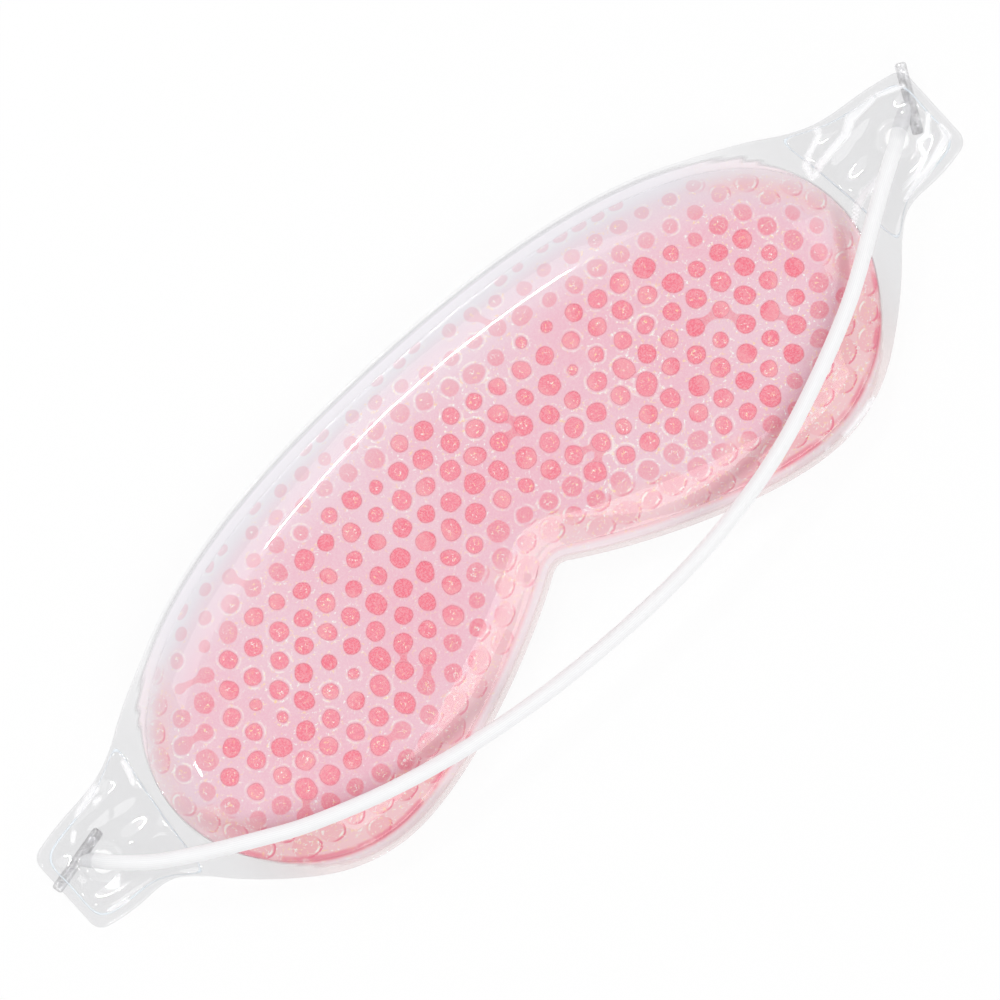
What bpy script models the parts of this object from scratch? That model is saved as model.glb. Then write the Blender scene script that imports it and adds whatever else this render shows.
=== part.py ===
"""Gel bead eye mask with an elastic strap, in metres, +Z up.

The mask lies on its rear film with the strap side up. X runs along the mask and Y towards its forehead edge.
Two clear films are welded together round a pouch of gel beads and run on into a holed tab at each end. The
strap goes down through each hole and ends in a metal bar under the tab. Films, gel and strap are divided at
the nose bridge, where the mask folds.
"""

import math

import bmesh
import bpy
from mathutils import Matrix, Vector
from mathutils.bvhtree import BVHTree
from mathutils.geometry import interpolate_bezier, intersect_point_line

# Overall sizes of the mask
POUCH_LENGTH = 0.182
TAB_LENGTH = 0.028
MASK_HEIGHT = 0.0764
LOBE_THICKNESS = 0.0118
BRIDGE_THICKNESS = 0.0108

# Films, the weld that joins them and the gap that stands for it
FILM = 0.00035
WELD_WIDTH = 0.0032
WELD_LEVEL = 0.0055
FRONT_SHOULDER = 0.015
REAR_SHOULDER = 0.010
SHOULDER_POWER = 2.6
CLEARANCE = 0.0003

# Outline of the pouch: where its edge turns, and how far each curve runs on before it turns
NOTCH_EDGE = 0.0177
NOTCH_ROUND = 0.004
NOSE_ANGLE = math.radians(32)
CHEEK_X = 0.058
TEMPLE_DROP = 0.003
FOREHEAD_REACH = 0.064
TEMPLE_REACH_UP = 0.022
TEMPLE_REACH_DOWN = 0.016
CHEEK_REACH_OUT = 0.018
CHEEK_REACH_IN = 0.0155
NOSE_REACH = 0.015

# Tabs with their air pocket and strap hole
TAB_END_HEIGHT = 0.021
TAB_CORNER = 0.003
TAB_TAPER_ANGLE = math.radians(14)
TAB_REACH = 0.013
TAB_LEAVES_SHARE = 0.83
TAB_RETURNS_SHARE = 0.89
TAB_FLARE = 0.018
TAB_ROOT_WIDENING = 0.0031
POCKET_MARGIN = 0.0022
FRONT_PUFF = 0.0010
REAR_PUFF = 0.0005
STRAP_HOLE = 0.005
HOLE_REACH = 0.0178
HOLE_WELD = 0.0016

# Gel
BEAD_DIAMETER = 0.0056
TEMPLE_INSET = 0.0063
NECK_SHARE = 0.4
BED_INSET = 0.0125
BED_ROUND = 0.0008

# Strap and its bars
STRAP_DIAMETER = 0.0032
STRAP_STEP = 0.0033
TIP_LENGTH = 0.0035
TIP_SHARE = 0.45
BAR_LENGTH = 0.015
BAR_DIAMETER = 0.0024
BAR_ROUND = 0.0006
BAR_HANG = 0.0010
SEAM_WIDTH = 0.0005
SEAM_DEPTH = 0.0006
LEFT_BAR = (Vector((-0.0038, 0.0036, 0.0)), math.radians(12.4))
RIGHT_BAR = (Vector((0.0075, 0.0044, 0.0)), math.radians(62.4))

# The strap's route from the left bar to the right one: near each hole it is measured from the hole's middle,
# and over the lobes along the mask as a share of the way from the fold to a hole
LEFT_HOLE_ROUTE = [
    (-0.0022, 0.0021, 0.0028),
    (-0.0009, 0.0009, 0.0036),
    (0.0000, 0.0000, 0.0055),
    (0.0009, -0.0009, 0.0074),
    (0.0021, -0.0020, 0.0085),
]
LOBE_ROUTE = [
    (-0.9605, -0.0040, 0.0097),
    (-0.9191, -0.0076, 0.0107),
    (-0.8502, -0.0122, 0.0116),
    (-0.7721, -0.0168, 0.0124),
    (-0.6866, -0.0215, 0.0130),
    (-0.5974, -0.0253, 0.0134),
    (-0.5101, -0.0284, 0.0129),
    (-0.4136, -0.0311, 0.0117),
    (-0.3107, -0.0333, 0.0104),
    (-0.1654, -0.0353, 0.0093),
    (0.0000, -0.0362, 0.0089),
    (0.1654, -0.0358, 0.0093),
    (0.3107, -0.0338, 0.0104),
    (0.4439, -0.0305, 0.0122),
    (0.5827, -0.0250, 0.0136),
    (0.7270, -0.0178, 0.0133),
    (0.8483, -0.0098, 0.0118),
    (0.9099, -0.0056, 0.0109),
    (0.9540, -0.0028, 0.0100),
]
RIGHT_HOLE_ROUTE = [
    (-0.0022, -0.0013, 0.0087),
    (-0.0008, -0.0005, 0.0074),
    (0.0000, 0.0000, 0.0055),
    (0.0008, 0.0005, 0.0036),
    (0.0023, 0.0013, 0.0026),
    (0.0043, 0.0025, 0.0024),
]

# How finely the curved forms are faceted
COLUMNS = 18
ROWS = 8
CURVE_STEPS = 24
TAB_SIDE_STEPS = 5
CORNER_STEPS = 2
BAR_SIDES = 12
SETTLING_STEPS = 12
SMOOTH_ANGLE = math.radians(40)

FRONT_LEVEL = WELD_LEVEL + CLEARANCE / 2
REAR_LEVEL = WELD_LEVEL - CLEARANCE / 2
BEAD_PITCH = BEAD_DIAMETER + CLEARANCE
TAB_END = POUCH_LENGTH / 2 + TAB_LENGTH
HOLE_X = POUCH_LENGTH / 2 + HOLE_REACH
SIDES = {"left": -1, "right": 1}


def clear_scene():
    """Remove every object that the file opened with."""
    for leftover in list(bpy.data.objects):
        bpy.data.objects.remove(leftover, do_unlink=True)


def make_material(name, colour, roughness, metallic=0.0, alpha=1.0):
    """A Principled material with one colour, roughness and metallic value."""
    material = bpy.data.materials.new(name)
    material.use_nodes = True
    shader = material.node_tree.nodes["Principled BSDF"]
    shader.inputs["Base Color"].default_value = (*colour, 1.0)
    shader.inputs["Roughness"].default_value = roughness
    shader.inputs["Metallic"].default_value = metallic
    shader.inputs["Alpha"].default_value = alpha
    material.diffuse_color = (*colour, alpha)
    return material


def add_object(name, data, parent, material, origin=Vector()):
    """Link an object whose data is drawn round origin, and hang it on its half of the mask."""
    part = bpy.data.objects.new(name, data)
    part.data.materials.append(material)
    bpy.context.collection.objects.link(part)
    part.parent = parent
    part.location = origin - parent.location
    return part


def to_mesh(bm, name):
    """Turn a bmesh into a smooth-shaded mesh with its creases kept sharp."""
    mesh = bpy.data.meshes.new(name)
    bm.to_mesh(mesh)
    bm.free()
    mesh.shade_smooth()
    mesh.set_sharp_from_angle(angle=SMOOTH_ANGLE)
    return mesh


def bezier(start, start_handle, end_handle, end, steps=CURVE_STEPS):
    """Points along one Bezier curve, both ends included."""
    return interpolate_bezier(start, start_handle, end_handle, end, steps + 1)


def even_points(line, count):
    """A polyline's course as a number of evenly spaced points, both ends included."""
    reach = [0.0]
    for before, after in zip(line, line[1:]):
        reach.append(reach[-1] + (after - before).length)
    points = []
    index = 0
    for step in range(count):
        target = reach[-1] * step / (count - 1)
        while index < len(line) - 2 and reach[index + 1] < target:
            index += 1
        share = (target - reach[index]) / (reach[index + 1] - reach[index])
        points.append(line[index].lerp(line[index + 1], share))
    return points


def pouch_edges():
    """The right half's weld line: its forehead edge and its lower edge, both ending at the temple."""
    half_height = MASK_HEIGHT / 2 - WELD_WIDTH
    fold = CLEARANCE / 2
    crest = Vector((fold, half_height, 0))
    temple = Vector((POUCH_LENGTH / 2, -TEMPLE_DROP, 0))
    cheek = Vector((CHEEK_X, -half_height, 0))
    apex = Vector((fold, WELD_WIDTH - NOTCH_EDGE, 0))
    fall = Vector((math.cos(NOSE_ANGLE), -math.sin(NOSE_ANGLE), 0))
    nose = apex + Vector((NOTCH_ROUND, -NOTCH_ROUND * math.tan(NOSE_ANGLE) / 2, 0))
    forehead = bezier(
        crest,
        crest + Vector((FOREHEAD_REACH, 0, 0)),
        temple + Vector((0, TEMPLE_REACH_UP, 0)),
        temple,
    )
    notch = bezier(apex, apex + Vector((NOTCH_ROUND / 3, 0, 0)), nose - fall * (NOTCH_ROUND / 3), nose)
    side = bezier(nose, nose + fall * NOSE_REACH, cheek - Vector((CHEEK_REACH_IN, 0, 0)), cheek)
    end = bezier(
        cheek,
        cheek + Vector((CHEEK_REACH_OUT, 0, 0)),
        temple - Vector((0, TEMPLE_REACH_DOWN, 0)),
        temple,
    )
    return even_points(forehead, COLUMNS + 1), even_points(notch + side[1:] + end[1:], COLUMNS + 1)


def moved_out(line, distances):
    """A weld line moved outwards by a distance at each point, its ends kept at the fold."""
    mirror = Vector((-1, 1, 1))
    ends = [line[1] * mirror, line[-2] * mirror]
    course = [ends[0], *line, ends[1]]
    moved = []
    for before, point, after, distance in zip(course, course[1:], course[2:], distances):
        along = (after - before).normalized()
        place = point + Vector((-along.y, along.x, 0)) * distance
        place.x = max(place.x, CLEARANCE / 2)
        moved.append(place)
    return moved


def flange_widths(line):
    """Width of the flange along a weld line: even, but flaring out to the corners of the tab's root."""
    reach = [0.0]
    for before, after in zip(line, line[1:]):
        reach.append(reach[-1] + (after - before).length)
    widths = []
    for index, place in enumerate(reach):
        if TAB_LEAVES <= index <= TAB_RETURNS:
            across = (index - TAB_LEAVES) / (TAB_RETURNS - TAB_LEAVES)
            share = 1 - math.sin(math.pi * across)
        else:
            away = min(abs(place - reach[TAB_LEAVES]), abs(place - reach[TAB_RETURNS]))
            share = max(1 - away / TAB_FLARE, 0) ** 2
        widths.append(WELD_WIDTH + TAB_ROOT_WIDENING * share)
    return widths


TAB_LEAVES = round(COLUMNS * TAB_LEAVES_SHARE)
TAB_RETURNS = COLUMNS + round(COLUMNS * (1 - TAB_RETURNS_SHARE))
FOREHEAD_EDGE, CHEEK_EDGE = pouch_edges()
WELD_LINE = FOREHEAD_EDGE + CHEEK_EDGE[-2::-1]
FLANGE_LINE = moved_out(WELD_LINE, flange_widths(WELD_LINE))


def weld_distance(point):
    """Distance in plan from a point of the pouch to its weld line."""
    distances = []
    for before, after in zip(WELD_LINE, WELD_LINE[1:]):
        nearest, share = intersect_point_line(point, before, after)
        if share <= 0:
            nearest = before
        elif share >= 1:
            nearest = after
        distances.append((point - nearest).length)
    return min(distances)


def shoulder(distance, width):
    """Share of the full height that a film has reached at a distance from the weld."""
    return 1 - (1 - min(distance / width, 1)) ** SHOULDER_POWER


def front_height(point):
    """Inner face of the front film over a point of the pouch, thicker over the eyes than over the nose."""
    lobe = min(point.x / CHEEK_X, 1)
    swell = lobe * lobe * (3 - 2 * lobe)
    crown = BRIDGE_THICKNESS + (LOBE_THICKNESS - BRIDGE_THICKNESS) * swell - FILM
    return FRONT_LEVEL + (crown - FRONT_LEVEL) * shoulder(weld_distance(point), FRONT_SHOULDER)


def rear_height(point):
    """Inner face of the rear film under a point of the pouch, flat where the mask lies on it."""
    return REAR_LEVEL - (REAR_LEVEL - FILM) * shoulder(weld_distance(point), REAR_SHOULDER)


def tab_sides():
    """A tab's free edge from where it leaves the forehead edge, round its end, to the cheek edge."""
    leaves, returns = FLANGE_LINE[TAB_LEAVES], FLANGE_LINE[TAB_RETURNS]
    away = (FLANGE_LINE[TAB_LEAVES] - FLANGE_LINE[TAB_LEAVES - 1]).normalized()
    back = (FLANGE_LINE[TAB_RETURNS] - FLANGE_LINE[TAB_RETURNS + 1]).normalized()
    centre = Vector((TAB_END - TAB_CORNER, TAB_END_HEIGHT / 2 - TAB_CORNER, 0))
    corner = []
    for step in range(CORNER_STEPS + 1):
        angle = (math.pi / 2 - TAB_TAPER_ANGLE) * (1 - step / CORNER_STEPS)
        corner.append(centre + Vector((math.cos(angle), math.sin(angle), 0)) * TAB_CORNER)
    flip = Vector((1, -1, 1))
    lower = [point * flip for point in reversed(corner)]
    taper = Vector((math.cos(TAB_TAPER_ANGLE), -math.sin(TAB_TAPER_ANGLE), 0)) * TAB_REACH
    over = bezier(leaves, leaves + away * TAB_REACH, corner[0] - taper, corner[0], TAB_SIDE_STEPS)
    under = bezier(lower[-1], lower[-1] - taper * flip, returns + back * TAB_REACH, returns, TAB_SIDE_STEPS)
    return over + corner[1:] + [(corner[-1] + lower[0]) / 2] + lower + under[1:]


def tab_rings(level, puff):
    """Loops of a tab from its edge to its strap hole, with a puffed pocket between two flat welds."""
    edge = tab_sides() + FLANGE_LINE[TAB_RETURNS - 1:TAB_LEAVES:-1]
    hole = Vector((HOLE_X, 0, 0))
    rings = [[], [], [], []]
    for point in edge:
        inwards = (hole - point).normalized()
        pocket = point + inwards * POCKET_MARGIN
        collar = hole - inwards * (STRAP_HOLE / 2 + HOLE_WELD)
        rings[0].append(pocket + Vector((0, 0, level)))
        rings[1].append((pocket + collar) / 2 + Vector((0, 0, level + puff)))
        rings[2].append(collar + Vector((0, 0, level)))
        rings[3].append(hole - inwards * (STRAP_HOLE / 2) + Vector((0, 0, level)))
    return rings


def film_surface(height, level, puff, facing):
    """Inner face of the right half of a film, with its flange and tab, facing up or down."""
    bm = bmesh.new()
    columns = []
    for over, under in zip(FOREHEAD_EDGE[:-1], CHEEK_EDGE[:-1]):
        column = []
        for row in range(ROWS + 1):
            point = over.lerp(under, (1 - math.cos(math.pi * row / ROWS)) / 2)
            column.append(bm.verts.new((point.x, point.y, height(point))))
        columns.append(column)
    temple = bm.verts.new((FOREHEAD_EDGE[-1].x, FOREHEAD_EDGE[-1].y, level))
    columns.append([temple] * (ROWS + 1))
    for before, after in zip(columns, columns[1:]):
        for row in range(ROWS):
            corners = [before[row], before[row + 1], after[row + 1], after[row]]
            bm.faces.new(list(dict.fromkeys(corners)))
    weld = [column[0] for column in columns] + [column[-1] for column in columns[-2::-1]]
    flange = [bm.verts.new((point.x, point.y, level)) for point in FLANGE_LINE]
    for index in range(len(weld) - 1):
        bm.faces.new((weld[index], weld[index + 1], flange[index + 1], flange[index]))
    sides = [bm.verts.new((point.x, point.y, level)) for point in tab_sides()[1:-1]]
    loops = [[flange[TAB_LEAVES], *sides, *flange[TAB_RETURNS:TAB_LEAVES:-1]]]
    for ring in tab_rings(level, puff):
        loops.append([bm.verts.new(point) for point in ring])
    for outer, inner in zip(loops, loops[1:]):
        for index in range(len(outer)):
            bm.faces.new((outer[index - 1], outer[index], inner[index], inner[index - 1]))
    bmesh.ops.recalc_face_normals(bm, faces=bm.faces)
    if sum(face.normal.z for face in bm.faces) * facing < 0:
        bmesh.ops.reverse_faces(bm, faces=bm.faces)
    return bm


def mirrored(bm):
    """A copy of a surface for the left half, facing the same way."""
    copy = bm.copy()
    bmesh.ops.scale(copy, vec=(-1, 1, 1), verts=copy.verts)
    bmesh.ops.reverse_faces(copy, faces=copy.faces)
    return copy


def add_film(name, surfaces, halves, material):
    """Both halves of a film, each its inner face thickened outwards."""
    for side, surface in surfaces.items():
        film = add_object(f"{name}_{side}", to_mesh(surface, name), halves[side], material)
        wall = film.modifiers.new("film thickness", "SOLIDIFY")
        wall.thickness = FILM
        wall.offset = 1
        wall.use_even_offset = True


def seated_bead(x, y, front, rear):
    """Centre of a bead pressed up against the front film, or nothing where the pouch is too thin for it."""
    reach = BEAD_DIAMETER / 2 + CLEARANCE
    overhead = front.ray_cast(Vector((x, y, 0)), Vector((0, 0, 1)))[0]
    centre = Vector((x, y, overhead.z - reach))
    for _ in range(SETTLING_STEPS):
        centre.z += min(front.find_nearest(centre)[3] - reach, 0)
    fits = rear.find_nearest(centre)[3] >= reach and centre.z > rear.find_nearest(centre)[0].z
    return centre if fits else None


def edge_height(line, x):
    """Where a pouch edge crosses a line square to the mask's length."""
    for before, after in zip(line, line[1:]):
        if before.x <= x <= after.x or after.x <= x <= before.x:
            return before.lerp(after, (x - before.x) / (after.x - before.x)).y
    return line[0].y


def bead_rows(front, rear):
    """Centres of the right half's beads, a honeycomb of rows counted from the temple to the fold."""
    rows = []
    x = POUCH_LENGTH / 2 - TEMPLE_INSET
    while x > BEAD_DIAMETER / 2:
        lowest = edge_height(CHEEK_EDGE, x)
        highest = edge_height(FOREHEAD_EDGE, x)
        offset = BEAD_PITCH / 2 * (len(rows) % 2)
        first = math.ceil((lowest - offset) / BEAD_PITCH)
        last = math.floor((highest - offset) / BEAD_PITCH)
        row = []
        for step in range(first, last + 1):
            centre = seated_bead(x, step * BEAD_PITCH + offset, front, rear)
            if centre:
                row.append(centre)
        rows.append(row)
        x -= BEAD_PITCH * math.sqrt(3) / 2
    return [row for row in rows if row]


def add_tube(name, points, shares, diameter, sides_step, parent, material):
    """A capped tube along points, with a share of the full diameter at each of them."""
    curve = bpy.data.curves.new(name, "CURVE")
    curve.dimensions = "3D"
    curve.bevel_depth = diameter / 2
    curve.bevel_resolution = sides_step
    curve.use_fill_caps = True
    spline = curve.splines.new("POLY")
    spline.use_smooth = True
    spline.points.add(len(points) - 1)
    for target, point, share in zip(spline.points, points, shares):
        target.co = (*point, 1)
        target.radius = share
    return add_object(name, curve, parent, material)


def add_bead_row(name, centres, parent, material):
    """One row of beads as a single string, necked where neighbours touch."""
    half = Vector((0, BEAD_DIAMETER / 4, 0))
    pole = Vector((0, BEAD_DIAMETER / 2, 0))
    body = math.sqrt(3) / 2
    points, shares = [centres[0] - pole], [NECK_SHARE]
    for centre, after in zip(centres, centres[1:] + [None]):
        neck = (centre + after) / 2 if after else centre + pole
        points += [centre - half, centre + half, neck]
        shares += [body, body, NECK_SHARE]
    add_tube(name, points, shares, BEAD_DIAMETER, 1, parent, material)


def add_gel_bed(side, rows, parent, material):
    """The lower gel as a flat cushion with rounded edges, between the upper beads and the rear film."""
    outline = moved_out(WELD_LINE, [-BED_INSET] * len(WELD_LINE))
    heights = []
    for bead in [bead for row in rows for bead in row]:
        if weld_distance(Vector((bead.x, bead.y, 0))) > BED_INSET - BEAD_DIAMETER:
            heights.append(bead.z)
    top = min(heights) - BEAD_DIAMETER / 2 - CLEARANCE
    bottom = FILM + CLEARANCE
    bm = bmesh.new()
    base = bm.faces.new([bm.verts.new((SIDES[side] * point.x, point.y, bottom)) for point in outline])
    raised = bmesh.ops.extrude_face_region(bm, geom=[base])["geom"]
    corners = [item for item in raised if isinstance(item, bmesh.types.BMVert)]
    bmesh.ops.translate(bm, vec=(0, 0, top - bottom), verts=corners)
    bmesh.ops.recalc_face_normals(bm, faces=bm.faces)
    rims = [edge for edge in bm.edges if edge.verts[0].co.z == edge.verts[1].co.z]
    bmesh.ops.bevel(bm, geom=rims, offset=BED_ROUND, segments=2, profile=0.5, affect="EDGES")
    name = f"gel_bed_{side}"
    add_object(name, to_mesh(bm, name), parent, material)


def strap_course():
    """The strap's centre line: a smooth curve through its route, read at even steps."""
    route = [Vector((x - HOLE_X, y, z)) for x, y, z in LEFT_HOLE_ROUTE]
    route += [Vector((share * HOLE_X, y, z)) for share, y, z in LOBE_ROUTE]
    route += [Vector((x + HOLE_X, y, z)) for x, y, z in RIGHT_HOLE_ROUTE]
    course = []
    padded = [route[0] * 2 - route[1], *route, route[-1] * 2 - route[-2]]
    for before, start, end, after in zip(padded, padded[1:], padded[2:], padded[3:]):
        course += bezier(start, start + (end - before) / 6, end - (after - start) / 6, end)[:-1]
    course.append(route[-1])
    length = sum((b - a).length for a, b in zip(course, course[1:]))
    return even_points(course, round(length / STRAP_STEP) + 1), length


def add_strap(halves, material):
    """The strap as two tubes that meet at the fold, each drawn in where its end is clenched in a bar."""
    course, length = strap_course()
    step = length / (len(course) - 1)
    shares = []
    for index in range(len(course)):
        from_tip = step * min(index, len(course) - 1 - index)
        shares.append(TIP_SHARE + (1 - TIP_SHARE) * min(from_tip / TIP_LENGTH, 1))
    for side, sign in SIDES.items():
        kept = [pair for pair in zip(course, shares) if pair[0].x * sign > CLEARANCE]
        across = min((point for point in course if point.x * sign <= CLEARANCE), key=lambda p: abs(p.x))
        inner = kept[0 if sign > 0 else -1][0]
        cut = inner.lerp(across, (inner.x - sign * CLEARANCE / 2) / (inner.x - across.x))
        points = [pair[0] for pair in kept]
        widths = [pair[1] for pair in kept]
        place = 0 if sign > 0 else len(points)
        points.insert(place, cut)
        widths.insert(place, 1.0)
        add_tube(f"strap_{side}", points, widths, STRAP_DIAMETER, 2, halves[side], material)


def add_bar(side, halves, material):
    """A round metal bar rolled from strip, its seam underneath, turning where the strap is clenched in it."""
    offset, turn = LEFT_BAR if side == "left" else RIGHT_BAR
    level = REAR_LEVEL - FILM - REAR_PUFF - BAR_HANG - BAR_DIAMETER / 2
    centre = Vector((SIDES[side] * HOLE_X, 0, level)) + offset
    name = f"strap_bar_{side}"
    bm = bmesh.new()
    radius = BAR_DIAMETER / 2
    bmesh.ops.create_cone(
        bm, cap_ends=True, segments=BAR_SIDES, radius1=radius, radius2=radius, depth=BAR_LENGTH
    )
    ends = [edge for edge in bm.edges if edge.verts[0].co.z == edge.verts[1].co.z]
    bmesh.ops.bevel(bm, geom=ends, offset=BAR_ROUND, segments=2, profile=0.5, affect="EDGES")
    bmesh.ops.rotate(bm, cent=(0, 0, 0), matrix=Matrix.Rotation(math.pi / 2, 3, "Y"), verts=bm.verts)
    bar = add_object(name, to_mesh(bm, name), halves[side], material, centre)
    bar.rotation_euler.z = turn
    seam = bmesh.new()
    bmesh.ops.create_cube(seam, size=1)
    bmesh.ops.scale(seam, vec=(BAR_LENGTH * 2, SEAM_WIDTH, SEAM_DEPTH * 2), verts=seam.verts)
    bmesh.ops.translate(seam, vec=(0, 0, -radius), verts=seam.verts)
    cutter = add_object(f"seam_cutter_{side}", to_mesh(seam, "seam"), halves[side], material, centre)
    cutter.rotation_euler.z = turn
    cutter.hide_render = True
    cutter.display_type = "WIRE"
    cut = bar.modifiers.new("seam", "BOOLEAN")
    cut.operation = "DIFFERENCE"
    cut.solver = "EXACT"
    cut.object = cutter


def add_halves():
    """The empties that carry the two halves: the left at the origin, the right on the fold's axis."""
    halves = {}
    for side in SIDES:
        halves[side] = bpy.data.objects.new(f"{side}_half", None)
        bpy.context.collection.objects.link(halves[side])
    halves["right"].location.z = BRIDGE_THICKNESS
    return halves


def main():
    """Build the whole mask."""
    clear_scene()
    halves = add_halves()
    film = make_material("clear_film", (0.90, 0.91, 0.93), 0.08, alpha=0.3)
    beads = make_material("gel_bead", (0.87, 0.24, 0.31), 0.25)
    gel = make_material("gel_bed", (0.85, 0.42, 0.48), 0.3)
    elastic = make_material("elastic_strap", (0.90, 0.90, 0.90), 0.85)
    metal = make_material("bright_metal", (0.62, 0.61, 0.60), 0.25, metallic=1.0)

    front = film_surface(front_height, FRONT_LEVEL, FRONT_PUFF, 1)
    rear = film_surface(rear_height, REAR_LEVEL, -REAR_PUFF, -1)
    rows = bead_rows(BVHTree.FromBMesh(front), BVHTree.FromBMesh(rear))
    add_film("front_film", {"left": mirrored(front), "right": front}, halves, film)
    add_film("rear_film", {"left": mirrored(rear), "right": rear}, halves, film)
    for side, sign in SIDES.items():
        for number, row in enumerate(rows, start=1):
            centres = [Vector((sign * centre.x, centre.y, centre.z)) for centre in row]
            add_bead_row(f"bead_row_{side}_{number:02d}", centres, halves[side], beads)
        add_gel_bed(side, rows, halves[side], gel)
        add_bar(side, halves, metal)
    add_strap(halves, elastic)


main()
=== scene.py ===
"""Visual model of a gel bead eye mask: two clear films round gel beads, a white elastic and two bars.

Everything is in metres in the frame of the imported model: X along the mask, Y towards the forehead
edge and Z up. Distances among the marks that the finishes read are in millimetres.
"""

import logging
import math
from dataclasses import dataclass, field
from enum import Enum
from functools import reduce
from typing import Callable, ClassVar, Iterable, Mapping, Sequence

import bmesh
import bpy
import numpy as np
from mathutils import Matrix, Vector
from mathutils.kdtree import KDTree


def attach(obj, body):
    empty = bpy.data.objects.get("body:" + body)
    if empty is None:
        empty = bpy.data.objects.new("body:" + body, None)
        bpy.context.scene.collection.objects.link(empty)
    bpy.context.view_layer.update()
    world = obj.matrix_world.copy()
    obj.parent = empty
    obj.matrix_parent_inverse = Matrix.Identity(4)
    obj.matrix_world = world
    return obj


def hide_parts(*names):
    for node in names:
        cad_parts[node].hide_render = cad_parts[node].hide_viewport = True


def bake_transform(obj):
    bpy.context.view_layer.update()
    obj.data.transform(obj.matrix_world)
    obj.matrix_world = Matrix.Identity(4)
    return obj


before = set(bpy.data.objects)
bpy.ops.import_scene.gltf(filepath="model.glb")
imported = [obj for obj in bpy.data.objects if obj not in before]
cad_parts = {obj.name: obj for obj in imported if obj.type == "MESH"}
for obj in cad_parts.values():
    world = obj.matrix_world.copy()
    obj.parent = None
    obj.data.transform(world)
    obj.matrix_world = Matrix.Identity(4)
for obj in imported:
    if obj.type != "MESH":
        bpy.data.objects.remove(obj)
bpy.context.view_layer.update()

LOG = logging.getLogger("eye_mask")
Colour = tuple[float, float, float]
Point = tuple[float, float, float]
Pair = tuple[float, float]
Band = tuple[float, float, float, float]
Wave = tuple[float, float, float, float]
FaceLoop = tuple[int, ...]
MM = 0.001
TINY = 1e-12  # stands in for a step of no length
SMALL_SLOPE = 1e-9  # a slope under this has no direction
SMALL_GAP = 1e-6  # nor has a distance under this
LAST_CELL = 1.001  # a raster is read up to just before its last line
WHITE: Colour = (1.0, 1.0, 1.0)
STRAP_HOLE = 0.1088  # distance of a strap hole from the fold


class Side(Enum):
    """The two halves of the mask, with the sign of X on each."""

    LEFT = -1
    RIGHT = 1

    @property
    def word(self) -> str:
        """The half's name as it stands in node names."""
        return self.name.lower()

    @property
    def half(self) -> str:
        """The body that carries this half."""
        return f"{self.word}_half"


class Face(Enum):
    """The two faces of the mask, with the way each looks along Z."""

    FRONT = 1
    REAR = -1

    @property
    def word(self) -> str:
        """The face's name as it stands in node names."""
        return self.name.lower()

    def pick(self, pair: Pair) -> float:
        """This face's own value."""
        return pair[0] if self is Face.FRONT else pair[1]


class TabZone(Enum):
    """Parts of a tab, with the mark by which the film's finish knows each."""

    COLLAR = 0.5
    WELD = 0.8
    POCKET = 1.0
    LIP = 2.0


def srgb(red: int, green: int, blue: int) -> Colour:
    """A colour written in screen values."""
    values = [channel / 255 for channel in (red, green, blue)]
    return tuple(v / 12.92 if v <= 0.04045 else ((v + 0.055) / 1.055) ** 2.4 for v in values)


def smoothstep(low: float, high: float, value: np.ndarray) -> np.ndarray:
    """A soft step from 0 at low to 1 at high, which may be the smaller of the two."""
    share = np.clip((value - low) / (high - low), 0.0, 1.0)
    return share * share * (3 - 2 * share)


def unit(vectors: np.ndarray) -> np.ndarray:
    """Vectors brought to length 1."""
    return vectors / np.linalg.norm(vectors, axis=1)[:, None]


def bezier(start: Sequence[float], lead: Sequence[float], follow: Sequence[float],
           end: Sequence[float], steps: int = 60) -> np.ndarray:
    """Points along one Bezier curve.

    Args:
        start: First point.
        lead: Handle of the first point.
        follow: Handle of the last point.
        end: Last point.
        steps: How many steps the curve is read in.

    Returns:
        The points, both ends included.
    """
    t = np.linspace(0, 1, steps + 1)[:, None]
    a, b, c, d = (np.asarray(item, float) for item in (start, lead, follow, end))
    return a * (1 - t) ** 3 + 3 * b * t * (1 - t) ** 2 + 3 * c * t * t * (1 - t) + d * t ** 3


def reaches(line: np.ndarray) -> np.ndarray:
    """How far along a polyline each of its points lies."""
    steps = np.linalg.norm(np.diff(line, axis=0), axis=1)
    return np.concatenate([[0.0], np.cumsum(steps)])


def even(line: np.ndarray, count: int) -> np.ndarray:
    """A polyline read at even steps of its length.

    Args:
        line: The polyline's points.
        count: How many points come back.

    Returns:
        The evenly spaced points, both ends included.
    """
    reach = reaches(line)
    places = np.linspace(0, reach[-1], count)
    return np.stack([np.interp(places, reach, axis) for axis in line.T], axis=1)


def ripple(xy: np.ndarray, waves: Iterable[Wave]) -> np.ndarray:
    """A sum of plane waves over the plan.

    Args:
        xy: Points in plan.
        waves: For each wave its length, its bearing in degrees, its phase and its share.

    Returns:
        The summed height at each point, without unit.
    """
    total = np.zeros(len(xy))
    for length, bearing, phase, share in waves:
        angle = math.radians(bearing)
        run = xy[:, 0] * math.cos(angle) + xy[:, 1] * math.sin(angle)
        total += share * np.sin(2 * math.pi * run / length + phase)
    return total


def rises(height: Callable[[np.ndarray], np.ndarray], xy: np.ndarray, reach: float) -> np.ndarray:
    """How much a height gains along X and along Y about each point."""
    steps = np.array([[reach, 0.0], [0.0, reach]])
    return np.stack([height(xy + step) - height(xy - step) for step in steps], axis=1)


def placed(name: str, data: bpy.types.ID) -> bpy.types.Object:
    """An object in the scene.

    Args:
        name: Its name.
        data: Its mesh, camera or lamp.

    Returns:
        The object.
    """
    thing = bpy.data.objects.new(name, data)
    bpy.context.collection.objects.link(thing)
    return thing


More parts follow.
